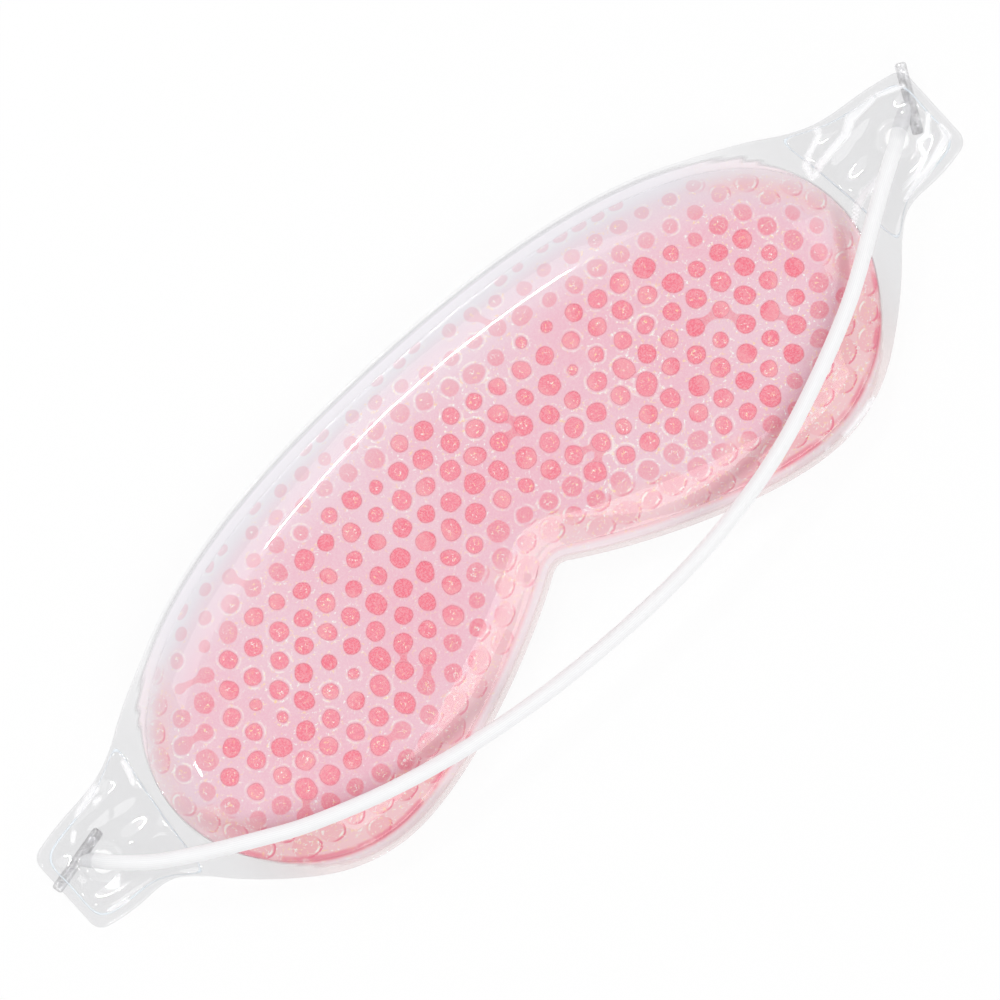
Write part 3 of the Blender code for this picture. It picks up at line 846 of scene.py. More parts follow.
@dataclass(frozen=True)
class WetMap:
    """Where a film is misted, wet or bare.

    A pair says where a mark starts and where it is full, unless its note says otherwise.
    """

    dry: float = 9.0  # distance given to points that no bead is near, in millimetres
    low_side: Pair = (0.004, -0.004)  # height over the pouch's middle line
    warmth: Pair = (0.88, 0.24)  # mean warmth and how far it swings
    warm_waves: tuple[Wave, ...] = ((0.034, 20, 0.7, 0.5), (0.047, 105, 2.0, 0.5))
    wander: tuple[Wave, ...] = (  # how the edges of the liquid wander over the plan
        (0.0125, 35, 0.0, 0.6), (0.0083, 110, 1.0, 0.5), (0.021, 75, 2.0, 0.5))
    soak: Pair = (-0.0012, 0.0012)  # distance below the strap where liquid has gathered
    low_wet: Pair = (0.0078, 0.0052)  # depth of the liquid along the lower weld
    temple_wet: Pair = (0.0058, 0.0026)  # the same at the temples
    temples: Pair = (0.066, 0.080)  # distance along the mask where the temples begin
    # how far the liquid's edges wander: at the strap, lower weld and temples
    wanders: Point = (0.0022, 0.0024, 0.0014)
    weld_wet: float = 0.75  # how wet the two borders are, as a share
    weld: Pair = (-0.0004, 0.0002)  # depth inside the weld where the pouch begins
    # how far the gel's look runs out over the weld: low down and at the forehead edge
    run_out: Pair = (0.0018, 0.0023)
    # distance along the mask where each of these ends
    run_out_ends: tuple[Pair, Pair] = ((0.070, 0.085), (0.080, 0.092))
    mist_rim: Pair = (0.0040, 0.0004)  # depth of the pale mist along the upper weld
    # the same on the flange along the lower weld, and its share
    flange_rim: Point = (-0.0002, -0.0010, 0.75)
    tab_root: Pair = (0.070, 0.092)  # distance along the mask where the flange takes on the tab's look
    blush: Pair = (0.092, 0.074)  # distance along the mask where the flange below the lobes takes on colour
    line: Pair = (0.0011, 0.0004)  # distance from the liquid line along the lower weld
    line_depth: float = 0.0002  # depth of that line inside the weld
    # how strong it is where the film is dry, and how much more where it is wet
    line_shares: Pair = (0.1, 0.9)

    def marks(self, film: "MaskFilm", points: np.ndarray, inside: np.ndarray, tab: np.ndarray,
              strap: np.ndarray) -> dict[str, np.ndarray]:
        """Work out every mark of a film.

        Args:
            film: The film.
            points: Points of its inner face.
            inside: 1 inside the weld and 0 outside it.
            tab: The tab's mark at each point, 0 off the tabs.
            strap: The strap's course, below which the liquid has gathered.

        Returns:
            For each mark one value at each point.
        """
        pouch = np.nonzero(inside > 0)[0]
        values: dict[str, np.ndarray] = {}
        for name, data in film.layer.contact(points[pouch]).items():
            values[name] = np.full(len(points), self.dry if name in ("contact", "neck") else 0.0)
            values[name][pouch] = data
        plan, front = points[:, :2], film.face is Face.FRONT
        x, y = plan.T
        reach, inset, upper = np.abs(x), film.form.depth(plan), film.form.upward(plan)
        edges = film.form.outline.edges(film.columns)
        over, under = (np.interp(reach, *edge.T) for edge in edges)
        low = smoothstep(*self.low_side, y - (over + under) / 2)
        wander = ripple(plan, self.wander)
        at_strap, at_weld, at_temple = (share * wander for share in self.wanders)
        mean, swing = self.warmth
        warmth = film.form.warmth(plan) * (mean + swing * ripple(plan, self.warm_waves))
        below = np.interp(x, strap[:, 0], strap[:, 1]) - y
        gathered = smoothstep(*self.soak, below + at_strap)
        border = smoothstep(*self.temple_wet, inset + at_temple) * smoothstep(*self.temples, reach)
        border = np.maximum(border, low * smoothstep(*self.low_wet, inset + at_weld))
        ends = [1 - smoothstep(*end, reach) for end in self.run_out_ends]
        run_out = self.run_out[0] * low * ends[0]
        over_weld = self.run_out[1] * upper * ends[1] * front
        rim_start, rim_full, rim_share = self.flange_rim
        upper_rim = upper * smoothstep(*self.mist_rim, inset)
        lower_rim = rim_share * low * smoothstep(rim_start, rim_full, inset)
        root = TabZone.WELD.value * (inset < 0) * smoothstep(*self.tab_root, reach)
        dry_line, wet_line = self.line_shares
        line = smoothstep(*self.line, np.abs(inset - self.line_depth))
        return {
            **values,
            "tab": np.maximum(tab, root),
            "inside": (tab == 0) * smoothstep(*self.weld, inset + run_out + over_weld),
            "rim": np.maximum(upper_rim, lower_rim),
            "warmth": np.clip(warmth, 0, 1),
            "pool": np.maximum(gathered, self.weld_wet * border),
            "blush": low * (inset < 0) * smoothstep(*self.blush, reach),
            # painted highlights along the creases, on the front film only
            "fold": film.tab.folded(plan) * front,
            "edge": low * (dry_line + wet_line * gathered) * line,
        }


@dataclass
class MaskFilm:
    """One clear film of the mask with its flange and its two tabs, in one piece from end to end."""

    form: PouchForm
    layer: BeadLayer
    tab: TabForm = field(default_factory=TabForm)
    wet: WetMap = field(default_factory=WetMap)
    columns: int = 208
    rows: int = 150
    weld_width: float = 0.0032
    widening: float = 0.0031  # how far the flange flares out at a tab's root
    narrowing: float = 1.4  # how far it draws in between, as a share of that flare
    flare: float = 0.018  # length of that flare
    leaves: float = 15 / 18  # share of the forehead edge where a tab leaves it
    returns: float = 16 / 18  # share of the lower edge where the tab comes back
    gap: float = 0.00001  # half of the hair's breadth between the welded films
    flange_rises: tuple[Pair, ...] = (  # places across the flange, each with its share of flange_rise
        (0.08, 0.0), (0.20, 0.1), (0.34, 0.0), (0.55, 0.2), (0.74, 1.0), (0.90, 0.8), (1.0, 0.1))
    flange_rise: float = 0.00008

    @property
    def face(self) -> Face:
        """The face of the mask that this film makes."""
        return self.layer.face

    @property
    def level(self) -> float:
        """Height of this film's inner face at the weld."""
        return self.form.weld_level + self.gap * self.face.value

    @property
    def root(self) -> tuple[int, int]:
        """Points of the right half's weld line where the tab leaves it and comes back."""
        back = round(self.columns * (1 - self.returns))
        return round(self.columns * self.leaves), self.columns + back

    def _flange_widths(self) -> np.ndarray:
        """Width of the flange along the right half's weld line.

        Returns:
            The width at each point from the crest, round the temple, to the notch.
        """
        reach = reaches(self.form.outline.right_half(self.columns))
        first, last = self.root
        index = np.arange(len(reach))
        away = np.minimum(np.abs(reach - reach[first]), np.abs(reach - reach[last]))
        outside = np.clip(1 - away / self.flare, 0, 1) ** 2
        bow = np.sin(math.pi * np.clip((index - first) / (last - first), 0, 1))
        between = (index >= first) & (index <= last)
        share = np.where(between, 1 - self.narrowing * bow, outside)
        return self.weld_width + self.widening * share

    def _pouch(self, sheet: Sheet) -> tuple[list[int], list[int]]:
        """Lay the film over the pouch.

        Args:
            sheet: The sheet to start.

        Returns:
            Numbers of the points round the weld, and for each its place on a half's weld line.
        """
        n, m = self.columns, self.rows
        upper, lower = self.form.outline.edges(n)
        order = np.arange(-n + 1, n)
        steps = np.abs(order)
        mirror = np.column_stack([np.where(order < 0, -1.0, 1.0), np.ones(len(order))])
        top, bottom = upper[steps] * mirror, lower[steps] * mirror
        share = ((1 - np.cos(math.pi * np.arange(m + 1) / m)) / 2)[None, :, None]
        plan = top[:, None] * (1 - share) + bottom[:, None] * share
        height = self.form.height(plan.reshape(-1, 2), self.face).reshape(plan.shape[:2])
        height[:, [0, -1]] = self.level
        grid = np.concatenate([plan, height[..., None]], axis=2)
        spots = np.array(sheet.add(grid.reshape(-1, 3))).reshape(plan.shape[:2]).tolist()
        x, y = upper[-1]
        left, right = sheet.add(np.array([[-x, y, self.level], [x, y, self.level]]))
        for one, other in zip(spots, spots[1:]):
            for row in range(m):
                sheet.faces.append((one[row], one[row + 1], other[row + 1], other[row]))
        first, last = spots[0], spots[-1]
        for row in range(m):
            sheet.faces.append((left, first[row + 1], first[row]))
            sheet.faces.append((last[row], last[row + 1], right))
        loop = [left, *(spot[0] for spot in spots), right, *(spot[m] for spot in spots[::-1])]
        return loop, [n, *steps, n, *(2 * n - steps[::-1])]

    def _flange(self, sheet: Sheet, loop: list[int], half: list[int]) -> list[int]:
        """Lay the flange round the pouch.

        Args:
            sheet: The sheet to go on with.
            loop: Numbers of the points round the weld.
            half: The place of each on a half's weld line.

        Returns:
            Numbers of the points round the flange's outer edge.
        """
        course = np.concatenate(sheet.blocks)[loop, :2]
        along = unit(np.roll(course, -1, axis=0) - np.roll(course, 1, axis=0))
        outwards = np.stack([-along[:, 1], along[:, 0]], axis=1)
        width = self._flange_widths()[half][:, None]
        ring = loop
        for place, lift in self.flange_rises:
            rise = self.level + self.flange_rise * lift * self.face.value
            plan = course + outwards * width * place
            fresh = sheet.add(np.column_stack([plan, np.full(len(loop), rise)]))
            sheet.sew(ring, fresh)
            ring = fresh
        return ring

    def _tab(self, sheet: Sheet, ring: list[int], side: Side) -> None:
        """Lay a tab on to the flange.

        Args:
            sheet: The sheet to go on with.
            ring: Numbers of the points round the flange's outer edge.
            side: The tab's end of the mask.
        """
        first, last = self.root
        root = [(self.columns + side.value * j) % len(ring) for j in range(first, last + 1)]
        mirror = np.array([float(side.value), 1.0])
        flange = np.concatenate(sheet.blocks)[ring, :2] * mirror
        flat = flange[root]
        away = flat[:1] - flange[[root[0] - side.value]]
        back = flat[-1:] - flange[[(root[-1] + side.value) % len(ring)]]
        free = self.tab.free_edge(flat[0], unit(away)[0], flat[-1], unit(back)[0])
        edge = np.concatenate([flat[:1], free, flat[-1:], flat[-2:0:-1]])
        lifted = np.column_stack([free * mirror, np.full(len(free), self.level)])
        outer = [ring[root[0]], *sheet.add(lifted, TabZone.WELD.value), ring[root[-1]],
                 *(ring[k] for k in root[-2:0:-1])]
        for shape, zone in self.tab.rings(edge, len(free) + 2, self.face):
            inner = sheet.add(shape * [side.value, 1, 1] + [0, 0, self.level], zone.value)
            sheet.sew(outer, inner)
            outer = inner

    def build(self, wetted: bpy.types.Material, clear: bpy.types.Material,
              strap: np.ndarray) -> bpy.types.Object:
        """Build the film as a closed shell whose inner face carries what the gel does to it.

        Args:
            wetted: Finish of the inner face.
            clear: Finish of the outer face and the rims.
            strap: The strap's course, below which the liquid has gathered.

        Returns:
            The film.
        """
        sheet = Sheet()
        loop, half = self._pouch(sheet)
        inside = np.ones(sheet.total)
        inside[loop] = 0.0
        ring = self._flange(sheet, loop, half)
        for side in Side:
            self._tab(sheet, ring, side)
        inside = np.concatenate([inside, np.zeros(sheet.total - len(inside))])
        points, tab = np.concatenate(sheet.blocks), np.concatenate(sheet.zones)
        mesh = meshed(f"film_{self.face.word}", points, sheet.faces)
        face_out(mesh, self.face.value)
        write_marks(mesh, self.wet.marks(self, points, inside, tab, strap))
        shell = placed("shell", mesh)
        wall = shell.modifiers.new("thickness", "SOLIDIFY")
        wall.thickness = self.form.film
        wall.offset = 1.0
        bpy.context.view_layer.update()
        graph = bpy.context.evaluated_depsgraph_get()
        whole = bpy.data.meshes.new_from_object(shell.evaluated_get(graph))
        bpy.data.objects.remove(shell)
        whole.materials.clear()
        for finish in (wetted, clear):
            whole.materials.append(finish)
        count = len(points)
        heights = np.array([vertex.co.z for vertex in whole.vertices]) * self.face.value
        first_is_inner = heights[:count].sum() < heights[count:].sum()
        for polygon in whole.polygons:
            low, high = min(polygon.vertices), max(polygon.vertices)
            inner = high < count if first_is_inner else low >= count
            polygon.material_index = 0 if inner else 1
        whole.shade_smooth()
        return placed(f"{self.face.word}_film", whole)


@dataclass
class Gel:
    """The gel beads of both layers, made row by row."""

    form: PouchForm
    upper: BeadLayer
    lower: BeadLayer
    row_count: int = 17
    row_step: float = 0.0059 * math.sqrt(3) / 2
    row_start: float = 0.0847
    skin: float = 0.00005  # hair's breadth between a pressed bead and the film
    fineness: int = 3
    unround: float = 0.025
    seed_step: int = 1000
    moon_seed: int = 5
    moon_share: float = 0.42
    moon_edge: Pair = (-0.5, 0.35)  # least and greatest place of the lighter side's edge, in radii
    no_moon: float = -3.0

    def __post_init__(self) -> None:
        """Make the round bead that every bead starts from."""
        bm = bmesh.new()
        bmesh.ops.create_icosphere(bm, subdivisions=self.fineness, radius=1.0)
        bm.verts.ensure_lookup_table()
        self.ball = np.array([vertex.co[:] for vertex in bm.verts])
        self.triangles = np.array([[vertex.index for vertex in f.verts] for f in bm.faces])
        bm.free()

    def _bead(self, layer: BeadLayer, index: int) -> np.ndarray:
        """One bead, flattened where the films press on it.

        Args:
            layer: The layer it lies in.
            index: Its number there.

        Returns:
            Its points.
        """
        stretch = np.random.default_rng(layer.seed * self.seed_step + index).normal(1.0, self.unround, 3)
        points = layer.centres[index] + self.ball * layer.radius * stretch
        roof = self.form.height(points[:, :2], Face.FRONT) - self.skin
        ground = self.form.height(points[:, :2], Face.REAR) + self.skin
        points[:, 2] = np.clip(points[:, 2], ground, np.maximum(roof, ground))
        return points

    def _set(self, name: str, layer: BeadLayer, chosen: np.ndarray,
             finish: bpy.types.Material) -> bpy.types.Object:
        """A set of beads as one piece.

        Args:
            name: Name of the piece.
            layer: The layer the beads lie in.
            chosen: Their numbers there.
            finish: The gel's finish.

        Returns:
            The piece.
        """
        x, y, _ = self.ball.T
        size, beads = len(self.ball), len(layer.places)
        random = np.random.default_rng(layer.seed + self.moon_seed)
        turns = random.uniform(0, 2 * math.pi, beads)
        mooned = random.random(beads) < self.moon_share
        edges = np.where(mooned, random.uniform(*self.moon_edge, beads), self.no_moon)
        points = np.concatenate([self._bead(layer, int(index)) for index in chosen])
        faces = np.concatenate([self.triangles + size * k for k in range(len(chosen))])
        mesh = meshed(name, points, faces.tolist())
        write_marks(mesh, {
            "warmth": np.repeat(self.form.warmth(layer.places[chosen]), size),
            "tone": np.repeat(layer.tone[chosen], size),
            "moon": np.concatenate([x * math.cos(turns[i]) + y * math.sin(turns[i]) + edges[i]
                                    for i in chosen]),
            "off": np.tile(np.hypot(x, y), len(chosen)),
        })
        mesh.shade_smooth()
        mesh.materials.append(finish)
        return placed(name, mesh)

    def build(self, finish: bpy.types.Material) -> list[tuple[bpy.types.Object, str]]:
        """Build every row of upper beads and both beds of lower beads.

        Args:
            finish: The gel's finish.

        Returns:
            Each piece with the node that it stands for.
        """
        made = []
        for side in Side:
            along = self.upper.places[:, 0] * side.value
            number = np.round((self.row_start - along) / self.row_step)
            number = np.clip(number, 0, self.row_count - 1).astype(int)
            for row in range(self.row_count):
                chosen = np.nonzero((along > 0) & (number == row))[0]
                name = f"{side.word}_{row + 1:02d}"
                beads = self._set(f"beads_{name}", self.upper, chosen, finish)
                made.append((beads, f"bead_row_{name}"))
            chosen = np.nonzero(self.lower.places[:, 0] * side.value > 0)[0]
            beads = self._set(f"lower_beads_{side.word}", self.lower, chosen, finish)
            made.append((beads, f"gel_bed_{side.word}"))
        return made


@dataclass
class Strap:
    """The round white elastic that runs over the front of the mask, and at each end on into a bar."""

    diameter: float = 0.0032
    near_left: tuple[Point, ...] = (  # its route round the left hole, from the hole's middle
        (-0.0036, 0.0034, 0.0025), (-0.0022, 0.0021, 0.0028), (-0.0009, 0.0009, 0.0036),
        (0.0, 0.0, 0.0055), (0.0009, -0.0009, 0.0074), (0.0021, -0.0020, 0.0085),
    )
    # its route between the holes, along the mask as a share of the way to a hole
    over_lobes: tuple[Point, ...] = (
        (-0.9605, -0.0040, 0.0097), (-0.9191, -0.0076, 0.0107), (-0.8502, -0.0122, 0.0116),
        (-0.7721, -0.0168, 0.0124), (-0.6866, -0.0215, 0.0130), (-0.5974, -0.0253, 0.0134),
        (-0.5101, -0.0284, 0.0129), (-0.4136, -0.0311, 0.0117), (-0.3107, -0.0333, 0.0104),
        (-0.1654, -0.0353, 0.0093), (0.0, -0.0362, 0.0089), (0.1654, -0.0358, 0.0093),
        (0.3107, -0.0338, 0.0104), (0.4439, -0.0305, 0.0122), (0.5827, -0.0250, 0.0136),
        (0.7270, -0.0178, 0.0133), (0.8483, -0.0098, 0.0118), (0.9099, -0.0056, 0.0109),
        (0.9540, -0.0028, 0.0100),
    )
    near_right: tuple[Point, ...] = (  # its route round the right hole, from the hole's middle
        (-0.0022, -0.0013, 0.0087), (-0.0008, -0.0005, 0.0074), (0.0, 0.0, 0.0055),
        (0.0008, 0.0005, 0.0036), (0.0023, 0.0013, 0.0026), (0.0043, 0.0025, 0.0024),
        (0.0066, 0.0040, 0.0024),
    )
    route_steps: int = 24
    tip_length: float = 0.0025
    tip_share: float = 0.72
    upright: float = 0.05  # how small its sideways part is where the elastic counts as upright
    upright_side: Point = (0.6, 0.8, 0.0)  # its sideways direction there
    sides: int = 28
    step: float = 0.0006

    def course(self) -> np.ndarray:
        """The elastic's centre line, read at even steps.

        Returns:
            Its points from the left bar to the right one.
        """
        route = [np.array(p) - [STRAP_HOLE, 0, 0] for p in self.near_left]
        route += [np.array(p) * [STRAP_HOLE, 1, 1] for p in self.over_lobes]
        route += [np.array(p) + [STRAP_HOLE, 0, 0] for p in self.near_right]
        padded = [route[0] * 2 - route[1], *route, route[-1] * 2 - route[-2]]
        line = [route[:1]]
        for before, start, end, after in zip(padded, padded[1:], padded[2:], padded[3:]):
            lead, follow = start + (end - before) / 6, end - (after - start) / 6
            line.append(bezier(start, lead, follow, end, self.route_steps)[1:])
        line = np.concatenate(line)
        return even(line, round(reaches(line)[-1] / self.step) + 1)

    def build(self, finish: bpy.types.Material) -> bpy.types.Object:
        """Build the elastic as a tube with a braid laid over it.

        Args:
            finish: The elastic's finish.

        Returns:
            The elastic.
        """
        course = self.course()
        along = unit(np.gradient(course, axis=0))
        side = np.cross(along, [0.0, 0.0, 1.0])
        side[np.linalg.norm(side, axis=1) < self.upright] = self.upright_side
        side = unit(side)
        over = np.cross(side, along)
        reach = np.arange(len(course)) * self.step
        tip = np.clip(np.minimum(reach, reach[::-1]) / self.tip_length, 0, 1)
        radius = self.diameter / 2 * (self.tip_share + (1 - self.tip_share) * tip)
        count, n = len(course), self.sides
        angle = (2 * math.pi * np.arange(n) / n)[None, :, None]
        ring = np.cos(angle) * side[:, None] + np.sin(angle) * over[:, None]
        points = (course[:, None] + ring * radius[:, None, None]).reshape(-1, 3)
        faces: list[FaceLoop] = []
        for a in range(0, (count - 1) * n, n):
            for j, k in zip(range(n), (*range(1, n), 0)):
                faces.append((a + j, a + k, a + n + k, a + n + j))
        faces.append(tuple(range(n))[::-1])
        faces.append(tuple(range((count - 1) * n, count * n)))
        mesh = meshed("elastic_strap", points, faces)
        layer = mesh.uv_layers.new(name="braid")
        for polygon in mesh.polygons:
            corners = polygon.vertices
            wraps = len(corners) == 4 and {v % n for v in corners} == {0, n - 1}
            for loop, vertex in zip(polygon.loop_indices, corners):
                turn = n if wraps and vertex % n == 0 else vertex % n
                layer.data[loop].uv = (turn / n, reach[vertex // n] / MM)
        mesh.shade_smooth()
        mesh.materials.append(finish)
        return placed("elastic_strap", mesh)


@dataclass(frozen=True)
class StrapBar:
    """A metal bar rolled from strip, clenched on one end of the elastic."""

    side: Side
    offset: Pair  # its middle, from the hole's middle
    turn: float  # its direction in plan in degrees
    level: float = 0.0023
    length: float = 0.015
    radius: float = 0.0012
    wall: float = 0.00035
    seam: float = 0.0005
    grid: tuple[int, int] = (91, 61)  # points along the bar and round it
    bevel: float = 0.0006
    end_share: float = 0.62
    dimples: Pair = (-0.0056, 0.0056)
    dimple: Pair = (0.0004, 0.00036)  # depth and width of a dimple
    sharp: float = 50.0

    def _skins(self) -> np.ndarray:
        """The strip's outer and inner skin, lying along X.

        Returns:
            A grid of points for each skin.
        """
        rows, columns = self.grid
        stations = np.linspace(-0.5, 0.5, rows) * self.length
        gap = self.seam / self.radius / 2
        sweep = np.linspace(-math.pi / 2 + gap, 1.5 * math.pi - gap, columns)
        from_end = np.clip((self.length / 2 - np.abs(stations)) / self.bevel, 0, 1)
        draw = self.end_share + (1 - self.end_share) * np.sqrt(1 - (1 - from_end) ** 2)
        depth, width = self.dimple
        skins = []
        for radius in (self.radius, self.radius - self.wall):
            scale = (radius * draw)[:, None]
            x = np.repeat(stations[:, None], columns, axis=1)
            y, z = np.cos(sweep)[None] * scale, np.sin(sweep)[None] * scale
            for place in self.dimples:
                across = np.hypot(x - place, y)
                z = z - depth * np.exp(-(across / width) ** 2) * (z > 0)
            skins.append(np.stack([x, y, z], axis=2))
        return np.array(skins)

    def build(self, finish: bpy.types.Material) -> bpy.types.Object:
        """Build the bar as a rolled strip with rounded ends and a pressed dimple near each end.

        Args:
            finish: The metal's finish.

        Returns:
            The bar.
        """
        rows, columns = self.grid
        skins = self._skins()
        outer, inner = np.arange(2 * rows * columns).reshape(2, rows, columns).tolist()
        faces: list[FaceLoop] = []
        for i in range(rows - 1):
            for j in range(columns - 1):
                corners = (i, j), (i, j + 1), (i + 1, j + 1), (i + 1, j)
                faces.append(tuple(outer[a][b] for a, b in corners))
                faces.append(tuple(inner[a][b] for a, b in corners[::-1]))
        rim = [(i, 0) for i in range(rows)] + [(rows - 1, j) for j in range(1, columns)]
        rim += [(i, columns - 1) for i in range(rows - 2, -1, -1)]
        rim += [(0, j) for j in range(columns - 2, 0, -1)]
        for k, (a, b) in enumerate(rim):
            c, d = rim[k - 1]
            faces.append((outer[c][d], outer[a][b], inner[a][b], inner[c][d]))
        angle = math.radians(self.turn)
        cos, sin = math.cos(angle), math.sin(angle)
        spin = np.array([[cos, -sin, 0], [sin, cos, 0], [0, 0, 1]])
        middle = [self.side.value * STRAP_HOLE + self.offset[0], self.offset[1], self.level]
        name = f"clench_bar_{self.side.word}"
        mesh = meshed(name, skins.reshape(-1, 3) @ spin.T + middle, faces)
        face_out(mesh)
        mesh.shade_smooth()
        mesh.set_sharp_from_angle(angle=math.radians(self.sharp))
        mesh.materials.append(finish)
        return placed(name, mesh)


@dataclass(frozen=True)
class Signal:
    """A shader value or colour that plain arithmetic works on."""

    hand: "Nodes"
    socket: bpy.types.NodeSocket

    def __add__(self, other: "Signal | float") -> "Signal":
        """The sum with another value."""
        return self.hand.math("ADD", self, other)

    def __sub__(self, other: "Signal | float") -> "Signal":
        """This value less another."""
        return self.hand.math("SUBTRACT", self, other)

    def __rsub__(self, other: float) -> "Signal":
        """A number less this value."""
        return self.hand.math("SUBTRACT", other, self)

    def __mul__(self, other: "Signal | float") -> "Signal":
        """The product with another value."""
        return self.hand.math("MULTIPLY", self, other)

    def most(self, other: "Signal | float") -> "Signal":
        """The greater of this and another value."""
        return self.hand.math("MAXIMUM", self, other)

    def least(self, other: "Signal | float") -> "Signal":
        """The smaller of this and another value."""
        return self.hand.math("MINIMUM", self, other)

    def step(self, low: float, high: float) -> "Signal":
        """A soft step from 0 at low to 1 at high, which may be the smaller of the two.

        Args:
            low: Where the step is 0.
            high: Where it is 1.

        Returns:
            The stepped value.
        """
        turned = low > high
        ends = {"From Min": min(low, high), "From Max": max(low, high),
                "To Min": float(turned), "To Max": float(not turned)}
        node = self.hand.add("ShaderNodeMapRange", {"Value": self, **ends},
                             interpolation_type="SMOOTHSTEP")
        return self.hand.out(node, "Result")

    def span(self, ends: Pair) -> "Signal":
        """From the first number where this is 0, rising by the second where this is 1."""
        return self * ends[1] + ends[0]

    def band(self, start: float, full: float, fade: float, end: float) -> "Signal":
        """1 between full and fade, softly down to 0 at start and end."""
        return self.step(start, full) * self.step(end, fade)


@dataclass(frozen=True)
class Nodes:
    """A small hand for laying out shader nodes in a material, a world or a group."""

    tree: bpy.types.NodeTree

    def add(self, kind: str, feeds: Mapping[str | int, object] | None = None,
            **settings: object) -> bpy.types.Node:
        """Add a node.

        Args:
            kind: The node's type.
            feeds: What goes into its inputs.
            settings: Properties to set on it.

        Returns:
            The node.
        """
        node = self.tree.nodes.new(kind)
        for name, value in settings.items():
            setattr(node, name, value)
        self.feed(node, feeds or {})
        return node

    def feed(self, node: bpy.types.Node, feeds: Mapping[str | int, object]) -> None:
        """Set inputs of a node, or link something to them.

        Args:
            node: The node.
            feeds: A signal, a colour or a number for each input.
        """
        for name, value in feeds.items():
            socket = node.inputs[name]
            if isinstance(value, Signal):
                self.tree.links.new(value.socket, socket)
            else:
                socket.default_value = (*value, 1.0) if isinstance(value, tuple) else value

    def out(self, node: bpy.types.Node, name: str | int = 0) -> Signal:
        """One output of a node."""
        return Signal(self, node.outputs[name])

    def math(self, operation: str, *values: "Signal | float") -> Signal:
        """One step of arithmetic."""
        return self.out(self.add("ShaderNodeMath", dict(enumerate(values)), operation=operation))

    def blend(self, share: Signal, first: Signal | Colour, second: Signal | Colour) -> Signal:
        """A mix of two colours, from all of the first at share 0 to all of the second at 1."""
        inputs = {0: share, 6: first, 7: second}
        return self.out(self.add("ShaderNodeMix", inputs, data_type="RGBA"), 2)

    def mix(self, share: Signal, first: Signal, second: Signal) -> Signal:
        """A mix of two shaders."""
        return self.out(self.add("ShaderNodeMixShader", {0: share, 1: first, 2: second}))

    def mark(self, name: str) -> Signal:
        """A value written on the mesh."""
        return self.out(self.add("ShaderNodeAttribute", attribute_name=name), "Fac")

    def ray(self, *kinds: str) -> Signal:
        """1 for rays of any of these kinds and 0 for others."""
        path = self.add("ShaderNodeLightPath")
        return reduce(Signal.most, [self.out(path, f"Is {kind} Ray") for kind in kinds])

    def bump(self, height: Signal, strength: float, distance: float) -> Signal:
        """A normal that is roughened by a height."""
        feeds = {"Strength": strength, "Distance": distance, "Height": height}
        return self.out(self.add("ShaderNodeBump", feeds))

    def group(self, tree: bpy.types.NodeTree, **feeds: float) -> dict[str, Signal]:
        """Place a shared group.

        Args:
            tree: The group.
            feeds: Values for its inputs.

        Returns:
            Its outputs by name.
        """
        node = self.add("ShaderNodeGroup", node_tree=tree)
        self.feed(node, feeds)
        return {socket.name: Signal(self, socket) for socket in node.outputs}

    def surface(self, **feeds: object) -> Signal:
        """Set inputs of the material's Principled shader.

        Args:
            feeds: What goes into each input, named with underscores for spaces.

        Returns:
            The shader.
        """
        node = self.tree.nodes["Principled BSDF"]
        self.feed(node, {name.replace("_", " "): value for name, value in feeds.items()})
        return self.out(node)

    def finish(self, shader: Signal) -> None:
        """Let a shader be what the material or the world shows."""
        ends = [node for node in self.tree.nodes if node.name.endswith("Output")]
        self.feed(ends[0], {"Surface": shader})


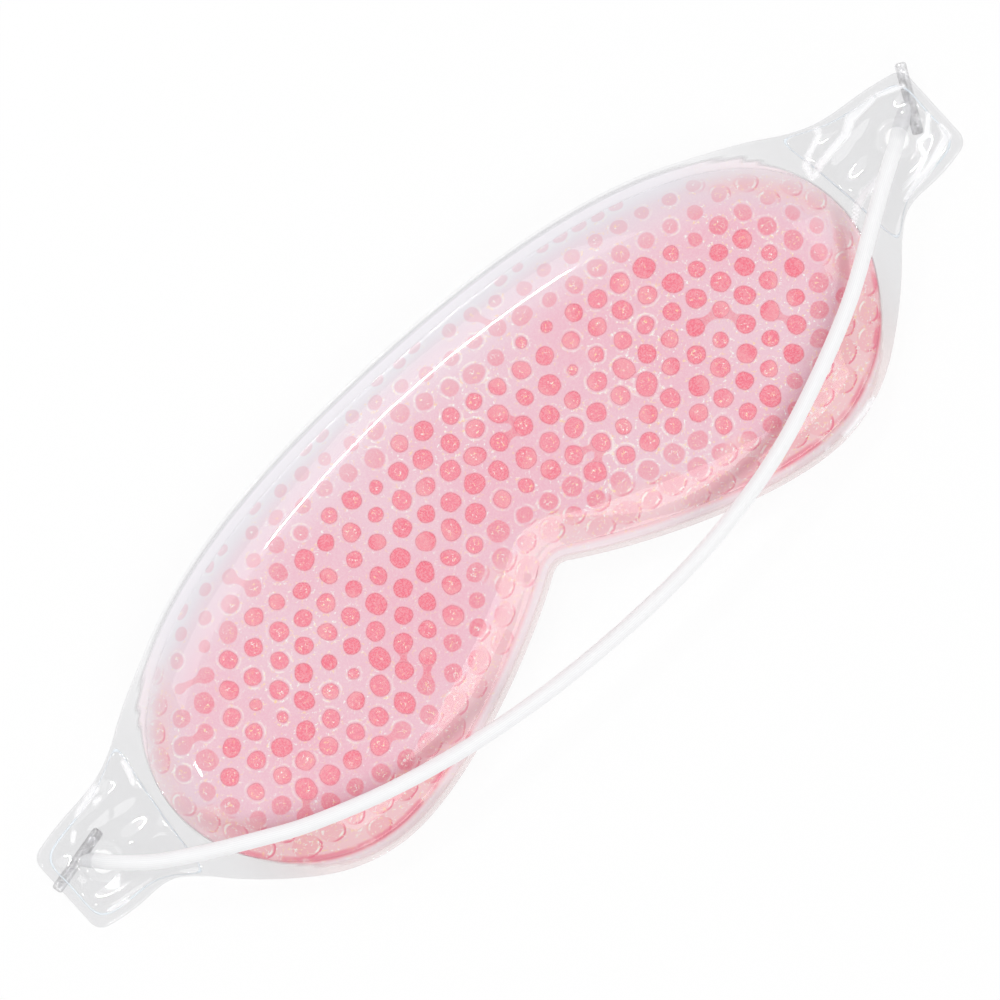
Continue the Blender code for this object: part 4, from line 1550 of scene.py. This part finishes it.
@dataclass
class SharedEffects:
    """Node groups that more than one finish uses."""

    grain_edge: Pair = (0.42, 0.62)
    glint_width: Pair = (0.045, 0.018)
    glint_share: Pair = (0.98, 1.05)
    glint_warmth: Pair = (0.40, 0.62)
    white_glint: Colour = srgb(255, 252, 248)
    amber_glint: Colour = srgb(255, 216, 164)

    def __post_init__(self) -> None:
        """Build each group once."""
        self.grain = self._grain()
        self.mottle = self._mottle()
        self.glints = self._glints()

    @staticmethod
    def _start(name: str, inputs: dict[str, float],
               outputs: dict[str, str]) -> tuple[Nodes, dict[str, Signal], bpy.types.Node]:
        """Start a group.

        Args:
            name: Its name.
            inputs: Its inputs with their usual values.
            outputs: Its outputs with their kinds.

        Returns:
            A hand on the group, its inputs by name and its output node.
        """
        tree = bpy.data.node_groups.new(name, "ShaderNodeTree")
        for label, value in inputs.items():
            socket = tree.interface.new_socket(label, in_out="INPUT", socket_type="NodeSocketFloat")
            socket.default_value = value
        for label, kind in outputs.items():
            tree.interface.new_socket(label, in_out="OUTPUT", socket_type=f"NodeSocket{kind}")
        hand = Nodes(tree)
        given = hand.add("NodeGroupInput")
        return hand, {label: hand.out(given, label) for label in inputs}, hand.add("NodeGroupOutput")

    @staticmethod
    def _noise(hand: Nodes, scale: Signal, detail: Signal | float) -> bpy.types.Node:
        """Noise that stays with the object.

        Args:
            hand: A hand on the group.
            scale: How fine the noise is.
            detail: How many finer layers it has.

        Returns:
            The node.
        """
        place = hand.out(hand.add("ShaderNodeTexCoord"), "Object")
        feeds = {"Vector": place, "Scale": scale, "Detail": detail}
        return hand.add("ShaderNodeTexNoise", feeds, noise_dimensions="3D")

    def _grain(self) -> bpy.types.NodeTree:
        """Fine grain of a surface as a height and a mask.

        Returns:
            The group.
        """
        hand, given, result = self._start("fine_grain", {"Scale": 900.0, "Detail": 3.0},
                                          {"Height": "Float", "Mask": "Float"})
        height = hand.out(self._noise(hand, given["Scale"], given["Detail"]), "Fac")
        hand.feed(result, {"Height": height, "Mask": height.step(*self.grain_edge)})
        return hand.tree

    def _mottle(self) -> bpy.types.NodeTree:
        """Slow cloudiness of a surface as a mask.

        Returns:
            The group.
        """
        hand, given, result = self._start("mottle", {"Scale": 90.0, "Contrast": 1.0},
                                          {"Mask": "Float"})
        centred = hand.out(self._noise(hand, given["Scale"], 2.0), "Fac") - 0.5
        mask = centred * given["Contrast"] + 0.5
        hand.feed(result, {"Mask": mask.most(0.0).least(1.0)})
        return hand.tree

    def _glints(self) -> bpy.types.NodeTree:
        """Painted glints, tiny bright highlights in the gel, as a mask and a colour from white to amber.

        Returns:
            The group.
        """
        hand, given, result = self._start("gel_glints", {"Scale": 900.0, "Share": 0.4},
                                          {"Mask": "Float", "Color": "Color"})
        noise = hand.out(self._noise(hand, given["Scale"], 1.0), "Color")
        parts = hand.add("ShaderNodeSeparateColor", {0: noise})
        shape, place, warmth = (hand.out(parts, channel) for channel in range(3))
        crest = hand.math("ABSOLUTE", shape - 0.5)
        lit = (place + given["Share"]).step(*self.glint_share)
        colour = hand.blend(warmth.step(*self.glint_warmth), self.white_glint, self.amber_glint)
        hand.feed(result, {"Mask": crest.step(*self.glint_width) * lit, "Color": colour})
        return hand.tree


class Finish:
    """A material, dressed on a Principled shader."""

    name: ClassVar[str]

    def make(self, effects: SharedEffects) -> bpy.types.Material:
        """Make the material.

        Args:
            effects: The shared groups.

        Returns:
            The material.
        """
        material = bpy.data.materials.new(self.name)
        material.use_nodes = True
        self.dress(Nodes(material.node_tree), effects)
        return material

    def dress(self, hand: Nodes, effects: SharedEffects) -> None:
        """Lay out the material's nodes."""
        raise NotImplementedError


@dataclass(frozen=True)
class ClearFilmFinish(Finish):
    """Clear soft film: see-through, with a wet gloss."""

    name: ClassVar[str] = "clear_film_gloss"
    tint: Colour = (0.975, 0.975, 0.978)
    roughness: Pair = (0.03, 0.03)  # least, and how much the grain adds
    index: float = 1.5
    relief: Pair = (0.08, 0.00035)

    def dress(self, hand: Nodes, effects: SharedEffects) -> None:
        """Mix a mirror into clear film by Fresnel's law, and let light through to the gel.

        Args:
            hand: A hand on the material's nodes.
            effects: The shared groups.
        """
        slow = hand.group(effects.grain, Scale=160.0, Detail=2.0)
        fine = hand.group(effects.grain, Scale=1500.0, Detail=3.0)
        normal = hand.bump(slow["Height"], *self.relief)
        mirror = hand.surface(Base_Color=WHITE, Metallic=1.0, Normal=normal,
                              Roughness=fine["Mask"].span(self.roughness))
        clear = hand.out(hand.add("ShaderNodeBsdfTransparent", {"Color": self.tint}))
        behind = hand.out(hand.add("ShaderNodeNewGeometry"), "Backfacing")
        index = behind * (1 / self.index - self.index) + self.index
        gloss = hand.out(hand.add("ShaderNodeFresnel", {"IOR": index, "Normal": normal}))
        share = gloss * (1.0 - hand.ray("Shadow", "Diffuse"))
        hand.finish(hand.mix(share, clear, mirror))


@dataclass(frozen=True)
class GelFinish(Finish):
    """Soft pink gel, cloudy inside, with tiny painted glints."""

    name: ClassVar[str] = "pink_gel"
    deep: Colour = srgb(244, 112, 134)  # the pinkest beads
    soft: Colour = srgb(245, 142, 160)  # the palest beads in the middle
    light: Colour = srgb(246, 176, 182)  # the lighter side of a bead
    pale: Colour = srgb(237, 198, 208)  # beads near the weld
    cloud_share: float = 0.35
    grain_share: float = 0.52
    moon_share: float = 0.5
    moon_edge: Pair = (-0.3, 0.3)
    glint_reach: Pair = (0.56, 0.30)  # from a bead's middle, as a share of its radius
    glint_tone: Pair = (0.0, 0.35)
    gloss: Pair = (0.25, 0.15)  # least roughness and how much the clouds add
    index: float = 1.36
    relief: Pair = (0.2, 0.0002)

    def dress(self, hand: Nodes, effects: SharedEffects) -> None:
        """Tone each bead by its marks, cloud it and strew painted glints in its middle.

        Args:
            hand: A hand on the material's nodes.
            effects: The shared groups.
        """
        clouds = hand.group(effects.mottle, Scale=420.0, Contrast=1.8)["Mask"]
        grain = hand.group(effects.grain, Scale=2600.0, Detail=2.0)
        glints = hand.group(effects.glints, Scale=1500.0, Share=0.46)
        tone = hand.mark("tone")
        base = hand.blend(tone, self.deep, self.soft)
        moon = hand.mark("moon").step(*self.moon_edge)
        base = hand.blend(moon * self.moon_share, base, self.light)
        base = hand.blend(clouds * self.cloud_share, base, self.soft)
        base = hand.blend(grain["Mask"] * self.grain_share, base, self.light)
        base = hand.blend(hand.mark("warmth"), self.pale, base)
        # painted glints in a bead's middle
        middle = hand.mark("off").step(*self.glint_reach) * tone.step(*self.glint_tone)
        base = hand.blend(glints["Mask"] * middle, base, glints["Color"])
        hand.surface(Base_Color=base, Roughness=clouds.span(self.gloss), IOR=self.index,
                     Normal=hand.bump(grain["Height"], *self.relief))


@dataclass(frozen=True)
class WettedFilmFinish(Finish):
    """Inner face of a film: misted where it is dry, clear where a bead or liquid wets it.

    Bands of the mark "contact" are in millimetres from a dot's rim, outwards.
    """

    name: ClassVar[str] = "film_inner_face"
    mist: Colour = srgb(239, 222, 231)  # near the weld
    flush: Colour = srgb(243, 183, 200)  # mist over deep gel
    pooled: Colour = srgb(248, 170, 182)  # a bead seen through gathered liquid
    amber: Colour = srgb(249, 194, 190)  # a warmer one
    washed: Colour = srgb(250, 203, 207)  # the liquid itself
    ring: Colour = srgb(255, 245, 238)  # light caught round a bead
    line: Colour = srgb(240, 116, 142)  # the liquid line along the weld
    rim: Colour = srgb(240, 239, 243)  # mist along the upper weld
    haze_and_shade: Colour = srgb(125, 125, 130)  # empty film: its faint haze, darkened with painted shade for the shade it casts below
    lip: Colour = srgb(228, 240, 248)  # the line round a tab's pocket, a painted highlight
    tinge: Colour = srgb(228, 200, 198)  # the flange below the lobes
    fold: Colour = srgb(254, 254, 255)  # painted highlight along a crease
    mist_shares: Pair = (0.18, 0.13)  # clouds and grain
    ring_band: Band = (0.32, 0.44, 0.64, 0.82)
    ring_chance: Pair = (0.42, 0.90)
    ring_shares: Pair = (0.2, 0.5)  # everywhere, and how much more in some regions
    amber_share: float = 0.6
    ghost_edge: Pair = (1.10, 0.85)
    ghost_shares: Pair = (0.40, 0.55)  # of the pinkest beads, and how much more of the palest
    crescent_band: Band = (0.40, 0.85, 1.02, 1.20)
    crescent_lean: Pair = (0.15, 0.75)
    crescent_share: float = 0.9
    shine_band: Band = (0.05, 0.25, 0.50, 0.70)
    shine_leans: tuple[Pair, Pair] = ((-0.55, -0.85), (0.80, 0.93))
    glint_band: Band = (0.15, 0.35, 0.75, 1.15)
    glint_shares: Pair = (0.35, 0.65)
    pool_glints: float = 0.8
    seam_shares: Pair = (0.5, 0.5)
    seam_clouds: Pair = (0.30, 0.55)
    seam_share: float = 0.75
    dot_glints: Pair = (-0.4, -0.9)
    dot_edge: Pair = (0.30, -0.02)
    dot_shares: Pair = (0.84, -0.3)  # everywhere, and how much less under the upper mist
    rim_share: float = 0.85
    clear_edge: Pair = (-0.06, 0.02)
    pool_edge: Pair = (0.02, 0.30)
    cover: float = 0.94
    lip_edge: Pair = (1.15, 1.7)
    glint_edge: Pair = (0.0, 0.2)
    veils: tuple[float, ...] = (0.015, 0.11, 0.22, 0.35, 0.92)  # film, tab, tinge, lip and the painted highlights on creases
    roughness: float = 0.55
    relief: Pair = (0.15, 0.0002)

    def dress(self, hand: Nodes, effects: SharedEffects) -> None:
        """Lay mist, liquid and bead marks over one another, and clear the film where beads wet it.

        Args:
            hand: A hand on the material's nodes.
            effects: The shared groups.
        """
        contact, pool, chance, inside, warmth, rim, tab, blush, fold = (hand.mark(name) for name in (
            "contact", "pool", "chance", "inside", "warmth", "rim", "tab", "blush", "fold"))
        clouds = hand.group(effects.mottle, Scale=150.0, Contrast=1.6)["Mask"]
        region = hand.group(effects.mottle, Scale=45.0, Contrast=4.0)["Mask"]
        sweep = hand.group(effects.mottle, Scale=420.0, Contrast=7.0)["Mask"]
        grain = hand.group(effects.grain, Scale=2600.0, Detail=2.0)
        glints = hand.group(effects.glints, Scale=1100.0, Share=0.50)

        by_clouds, by_grain = self.mist_shares
        base = hand.blend(warmth, self.mist, self.flush)
        base = hand.blend(clouds * by_clouds, base, self.mist)
        base = hand.blend(grain["Mask"] * by_grain, base, self.ring)
        arc = contact.band(*self.ring_band) * (sweep * chance.step(*self.ring_chance))
        base = hand.blend(arc * region.span(self.ring_shares), base, self.ring)

        base = hand.blend(pool, base, self._liquid(hand, contact, chance, clouds, sweep))
        # painted glints near the dots and in the gathered liquid
        near = contact.band(*self.glint_band) * region.span(self.glint_shares)
        near = near.most(pool * self.pool_glints)
        base = hand.blend(glints["Mask"] * near, base, glints["Color"])
        seam = hand.mark("edge") * pool.span(self.seam_shares) * clouds.step(*self.seam_clouds)
        base = hand.blend(seam * self.seam_share, base, self.line)

        bead = hand.blend(chance, GelFinish.deep, GelFinish.soft)
        bead = hand.blend(grain["Mask"] * GelFinish.grain_share, bead, GelFinish.light)
        bead = hand.blend(warmth, GelFinish.pale, bead)
        # painted glints in a dot's middle
        bead = hand.blend(glints["Mask"] * contact.step(*self.dot_glints), bead, glints["Color"])
        base = hand.blend(rim * self.rim_share, base, self.rim)
        dot = hand.mark("neck").step(*self.dot_edge) * (1.0 - pool) * rim.span(self.dot_shares)
        base = hand.blend(dot, base, bead)
        dry = contact.step(*self.clear_edge).most(pool.step(*self.pool_edge))
        cover = dry.most(hand.mark("shelf")) * self.cover * inside

        film_veil, tab_veil, tinge_veil, lip_veil, glint_veil = self.veils
        # painted highlight along the line round a tab's pocket
        lip = tab.step(*self.lip_edge)
        empty = hand.blend(lip, hand.blend(blush, self.haze_and_shade, self.tinge), self.lip)
        # painted highlights along the creases, nearly opaque white
        empty = hand.blend(fold.step(*self.glint_edge), empty, self.fold)
        veil = tab.least(1.0) * tab_veil + film_veil + blush * tinge_veil + lip * lip_veil
        # the veil, partly painted shade, is seen by the eye and in reflections only, and lets light through
        veil = veil * (1.0 - hand.ray("Shadow", "Diffuse"))
        bare = (1.0 - inside) * veil.most(fold * glint_veil)
        hand.surface(Base_Color=hand.blend(inside, empty, base), Alpha=cover + bare,
                     Roughness=self.roughness, Normal=hand.bump(grain["Height"], *self.relief))

    def _liquid(self, hand: Nodes, contact: Signal, chance: Signal, clouds: Signal,
                sweep: Signal) -> Signal:
        """Gathered liquid, with ghosts of the beads behind it.

        Args:
            hand: A hand on the material's nodes.
            contact: Distance from a dot's rim.
            chance: The bead's tone.
            clouds: Slow cloudiness.
            sweep: Broken light.

        Returns:
            Its colour.
        """
        lean = hand.mark("lean")
        wash = hand.blend(clouds * self.amber_share, self.pooled, self.amber)
        ghost = contact.step(*self.ghost_edge) * chance.span(self.ghost_shares)
        wash = hand.blend(ghost, self.washed, wash)
        crescent = contact.band(*self.crescent_band) * lean.step(*self.crescent_lean)
        wash = hand.blend(crescent * self.crescent_share, wash, self.line)
        above, below = (lean.step(*ends) for ends in self.shine_leans)
        shine = contact.band(*self.shine_band) * (sweep * above.most(below))
        return hand.blend(shine, wash, self.ring)


@dataclass(frozen=True)
class ElasticFinish(Finish):
    """White braided elastic."""

    name: ClassVar[str] = "white_elastic"
    thread: Colour = srgb(253, 253, 253)
    hollow_shade: Colour = srgb(238, 238, 240)  # painted shade between the threads
    pairs: int = 12  # threads that run each way round
    lay: float = 4.2  # millimetres in which the braid repeats
    roughness: Pair = (0.78, 0.1)  # least, and how much the grain adds
    sheen: Pair = (0.15, 0.4)  # weight and roughness
    fuzz: float = 0.4
    relief: Pair = (0.35, 0.00010)

    def dress(self, hand: Nodes, effects: SharedEffects) -> None:
        """Weave two sets of threads round the elastic.

        Args:
            hand: A hand on the material's nodes.
            effects: The shared groups.
        """
        place = hand.out(hand.add("ShaderNodeUVMap", uv_map="braid"))
        parts = hand.add("ShaderNodeSeparateXYZ", {0: place})
        turn = 2 * math.pi * self.pairs
        around, along = hand.out(parts, 0) * turn, hand.out(parts, 1) * (turn / self.lay)
        one, other = hand.math("SINE", around + along), hand.math("SINE", around - along)
        weave = one * other * 0.5 + 0.5
        grain = hand.group(effects.grain, Scale=3200.0, Detail=3.0)
        weight, softness = self.sheen
        height = grain["Height"] * self.fuzz + weave
        # the hollows between the threads are darkened with painted shade
        hand.surface(Base_Color=hand.blend(weave, self.hollow_shade, self.thread),
                     Roughness=grain["Mask"].span(self.roughness), Sheen_Weight=weight,
                     Sheen_Roughness=softness, Normal=hand.bump(height, *self.relief))


@dataclass(frozen=True)
class BrightMetalFinish(Finish):
    """Bright rolled strip with a fine grain and a little dulling."""

    name: ClassVar[str] = "bright_strip"
    bright: Colour = srgb(236, 236, 238)
    dull: Colour = srgb(186, 185, 184)
    metallic: float = 0.35
    roughness: Pair = (0.24, 0.14)  # least, and how much the grain adds
    relief: Pair = (0.12, 0.00008)

    def dress(self, hand: Nodes, effects: SharedEffects) -> None:
        """Dull the metal in clouds.

        Args:
            hand: A hand on the material's nodes.
            effects: The shared groups.
        """
        clouds = hand.group(effects.mottle, Scale=500.0, Contrast=2.2)["Mask"]
        grain = hand.group(effects.grain, Scale=3500.0, Detail=4.0)
        hand.surface(Base_Color=hand.blend(clouds, self.bright, self.dull), Metallic=self.metallic,
                     Roughness=grain["Mask"].span(self.roughness),
                     Normal=hand.bump(grain["Height"], *self.relief))


@dataclass(frozen=True)
class FloorFinish(Finish):
    """Pale floor that shows nearly white and keeps a soft shadow."""

    name: ClassVar[str] = "pale_floor"
    colour: Colour = (0.92, 0.92, 0.92)
    roughness: float = 0.9
    glow: float = 0.92

    def dress(self, hand: Nodes, effects: SharedEffects) -> None:
        """Let the floor glow for the eye, and only scatter light for the mask.

        Args:
            hand: A hand on the material's nodes.
            effects: The shared groups; not used.
        """
        plain = hand.surface(Base_Color=self.colour, Roughness=self.roughness,
                             Specular_IOR_Level=0.0)
        glow = hand.out(hand.add("ShaderNodeEmission"))
        seen = hand.ray("Camera", "Glossy", "Transmission")
        hand.finish(hand.mix(seen * self.glow, plain, glow))


@dataclass(frozen=True)
class SoftBox:
    """A lamp that looks at the middle of the mask."""

    name: str
    place: Point
    size: Pair
    power: float
    mirrored: bool = False  # only seen mirrored in the film, and lights nothing else

    def build(self) -> None:
        """Hang the lamp."""
        data = bpy.data.lights.new(self.name, "AREA")
        data.shape = "RECTANGLE"
        data.size, data.size_y = self.size
        data.energy = self.power
        lamp = placed(self.name, data)
        lamp.location = self.place
        lamp.rotation_euler = Vector(self.place).to_track_quat("Z", "Y").to_euler()
        lamp.visible_diffuse = not self.mirrored


@dataclass
class Studio:
    """Camera, lamps, world and floor."""

    turn: float = 42.3  # of the mask in the picture, in degrees
    width: float = 0.2025  # of what the picture takes in at the level of plane
    plane: float = 0.0065
    distance: float = 1.6
    sensor: float = 36.0
    near_clip: float = 0.05
    sky: float = 0.575
    floor_level: float = -0.0003
    floor_reach: float = 4.0
    clear_layers: int = 32  # how many clear faces a ray may pass
    lamps: tuple[SoftBox, ...] = (
        SoftBox("ridge_strip", (0.0, 0.56, 0.58), (0.26, 0.009), 0.9),
        SoftBox("ridge_gloss", (0.0, 0.56, 0.58), (0.26, 0.020), 2.2, mirrored=True),
        SoftBox("cheek_fill", (0.05, -0.95, 0.70), (1.1, 0.6), 4.2),
        SoftBox("brow_fill", (-0.20, 0.95, 0.75), (1.1, 0.6), 2.2),
        SoftBox("temple_fill", (1.0, -0.15, 0.70), (0.6, 1.1), 2.2),
        SoftBox("side_box", (-0.55, 0.10, 0.70), (0.10, 0.05), 0.8),
    )

    def _camera(self) -> None:
        """Look straight down on the mask, with its right end to the upper right."""
        data = bpy.data.cameras.new("camera")
        data.sensor_width = self.sensor
        data.lens = self.sensor * (self.distance - self.plane) / self.width
        data.clip_start = self.near_clip
        camera = placed("camera", data)
        camera.location = (0.0, 0.0, self.distance)
        camera.rotation_euler = (0.0, 0.0, math.radians(-self.turn))
        bpy.context.scene.camera = camera

    def _world(self) -> None:
        """Even white light all round, which looks full white where it is seen or mirrored."""
        world = bpy.data.worlds.new("studio")
        world.use_nodes = True
        hand = Nodes(world.node_tree)
        ground = world.node_tree.nodes["Background"]
        hand.feed(ground, {"Color": WHITE, "Strength": self.sky})
        seen = hand.add("ShaderNodeBackground", {"Color": WHITE})
        share = hand.ray("Camera", "Glossy", "Transmission")
        hand.finish(hand.mix(share, hand.out(ground), hand.out(seen)))
        bpy.context.scene.world = world

    def _floor(self, effects: SharedEffects) -> None:
        """A plain floor under the mask.

        Args:
            effects: The shared groups.
        """
        corners = np.array([(-1, -1), (1, -1), (1, 1), (-1, 1)]) * self.floor_reach
        corners = np.column_stack([corners, np.full(len(corners), self.floor_level)])
        floor = placed("floor", meshed("floor", corners, [(0, 1, 2, 3)]))
        floor.data.materials.append(FloorFinish().make(effects))

    def build(self, effects: SharedEffects) -> None:
        """Set up the whole studio.

        Args:
            effects: The shared groups.
        """
        self._camera()
        for lamp in self.lamps:
            lamp.build()
        self._world()
        self._floor(effects)
        scene = bpy.context.scene
        scene.cycles.transparent_max_bounces = self.clear_layers
        scene.view_settings.view_transform = "Standard"


@dataclass
class EyeMask:
    """The whole mask: films, gel, elastic and bars."""

    fold: float = 0.025  # how far from the middle a piece must lie to go on one half's body
    path_step: int = 8  # a step along the strap's course, in points
    bars: tuple[StrapBar, ...] = (
        StrapBar(Side.LEFT, (-0.0038, 0.0036), 12.4),
        StrapBar(Side.RIGHT, (0.0075, 0.0044), 62.4),
    )

    def _carry(self, piece: bpy.types.Object, nodes: Sequence[str]) -> None:
        """Put a piece on the body of its half, or leave it on none where it crosses the fold, and let it
        stand for its nodes.

        Args:
            piece: The piece.
            nodes: Nodes that it stands for.
        """
        reach = [vertex.co.x for vertex in piece.data.vertices]
        if min(reach) > self.fold:
            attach(piece, Side.RIGHT.half)
        elif max(reach) < -self.fold:
            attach(piece, Side.LEFT.half)
        else:
            Side.LEFT.half
            Side.RIGHT.half
            -self.fold
            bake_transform(piece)
        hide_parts(*nodes)
        LOG.info("%s stands for %s", piece.name, ", ".join(nodes))

    def _build_bars(self, finish: bpy.types.Material) -> list[bpy.types.Object]:
        """Build both bars, each on its own body.

        Args:
            finish: The metal's finish.

        Returns:
            The bars.
        """
        pieces = []
        for bar in self.bars:
            piece = bar.build(finish)
            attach(piece, f"{bar.side.word}_bar")
            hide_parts(f"strap_bar_{bar.side.word}")
            pieces.append(piece)
            LOG.info("%s rides on %s_bar", piece.name, bar.side.word)
        return pieces

    def _build_strap(self, strap: Strap, finish: bpy.types.Material,
                     bars: Sequence[bpy.types.Object]) -> None:
        """Args:
            strap: The elastic.
            finish: Its finish.
            bars: The bars at its ends; not used.
        """
        cord = strap.build(finish)
        self._carry(cord, ["strap_left", "strap_right"])

    def build(self, effects: SharedEffects) -> None:
        """Build and dress every piece.

        Args:
            effects: The shared groups.
        """
        finishes = ClearFilmFinish, WettedFilmFinish, GelFinish, ElasticFinish, BrightMetalFinish
        clear, wetted, gel, elastic, metal = (finish().make(effects) for finish in finishes)
        strap = Strap()
        course = strap.course()
        self._build_strap(strap, elastic, self._build_bars(metal))
        form = PouchForm()
        upper = BeadLayer(form, Face.FRONT)
        lower = BeadLayer(form, Face.REAR, bearing=11.0, headroom=0.0098, seed=23)
        for layer in (upper, lower):
            film, word = MaskFilm(form, layer).build(wetted, clear, course), layer.face.word
            self._carry(film, [f"{word}_film_left", f"{word}_film_right"])
        for piece, node in Gel(form, upper, lower).build(gel):
            self._carry(piece, [node])


def main() -> None:
    """Build the studio and the mask."""
    logging.basicConfig(level=logging.INFO, format="%(name)s: %(message)s")
    effects = SharedEffects()
    Studio().build(effects)
    EyeMask().build(effects)


if __name__ == "__main__":
    main()
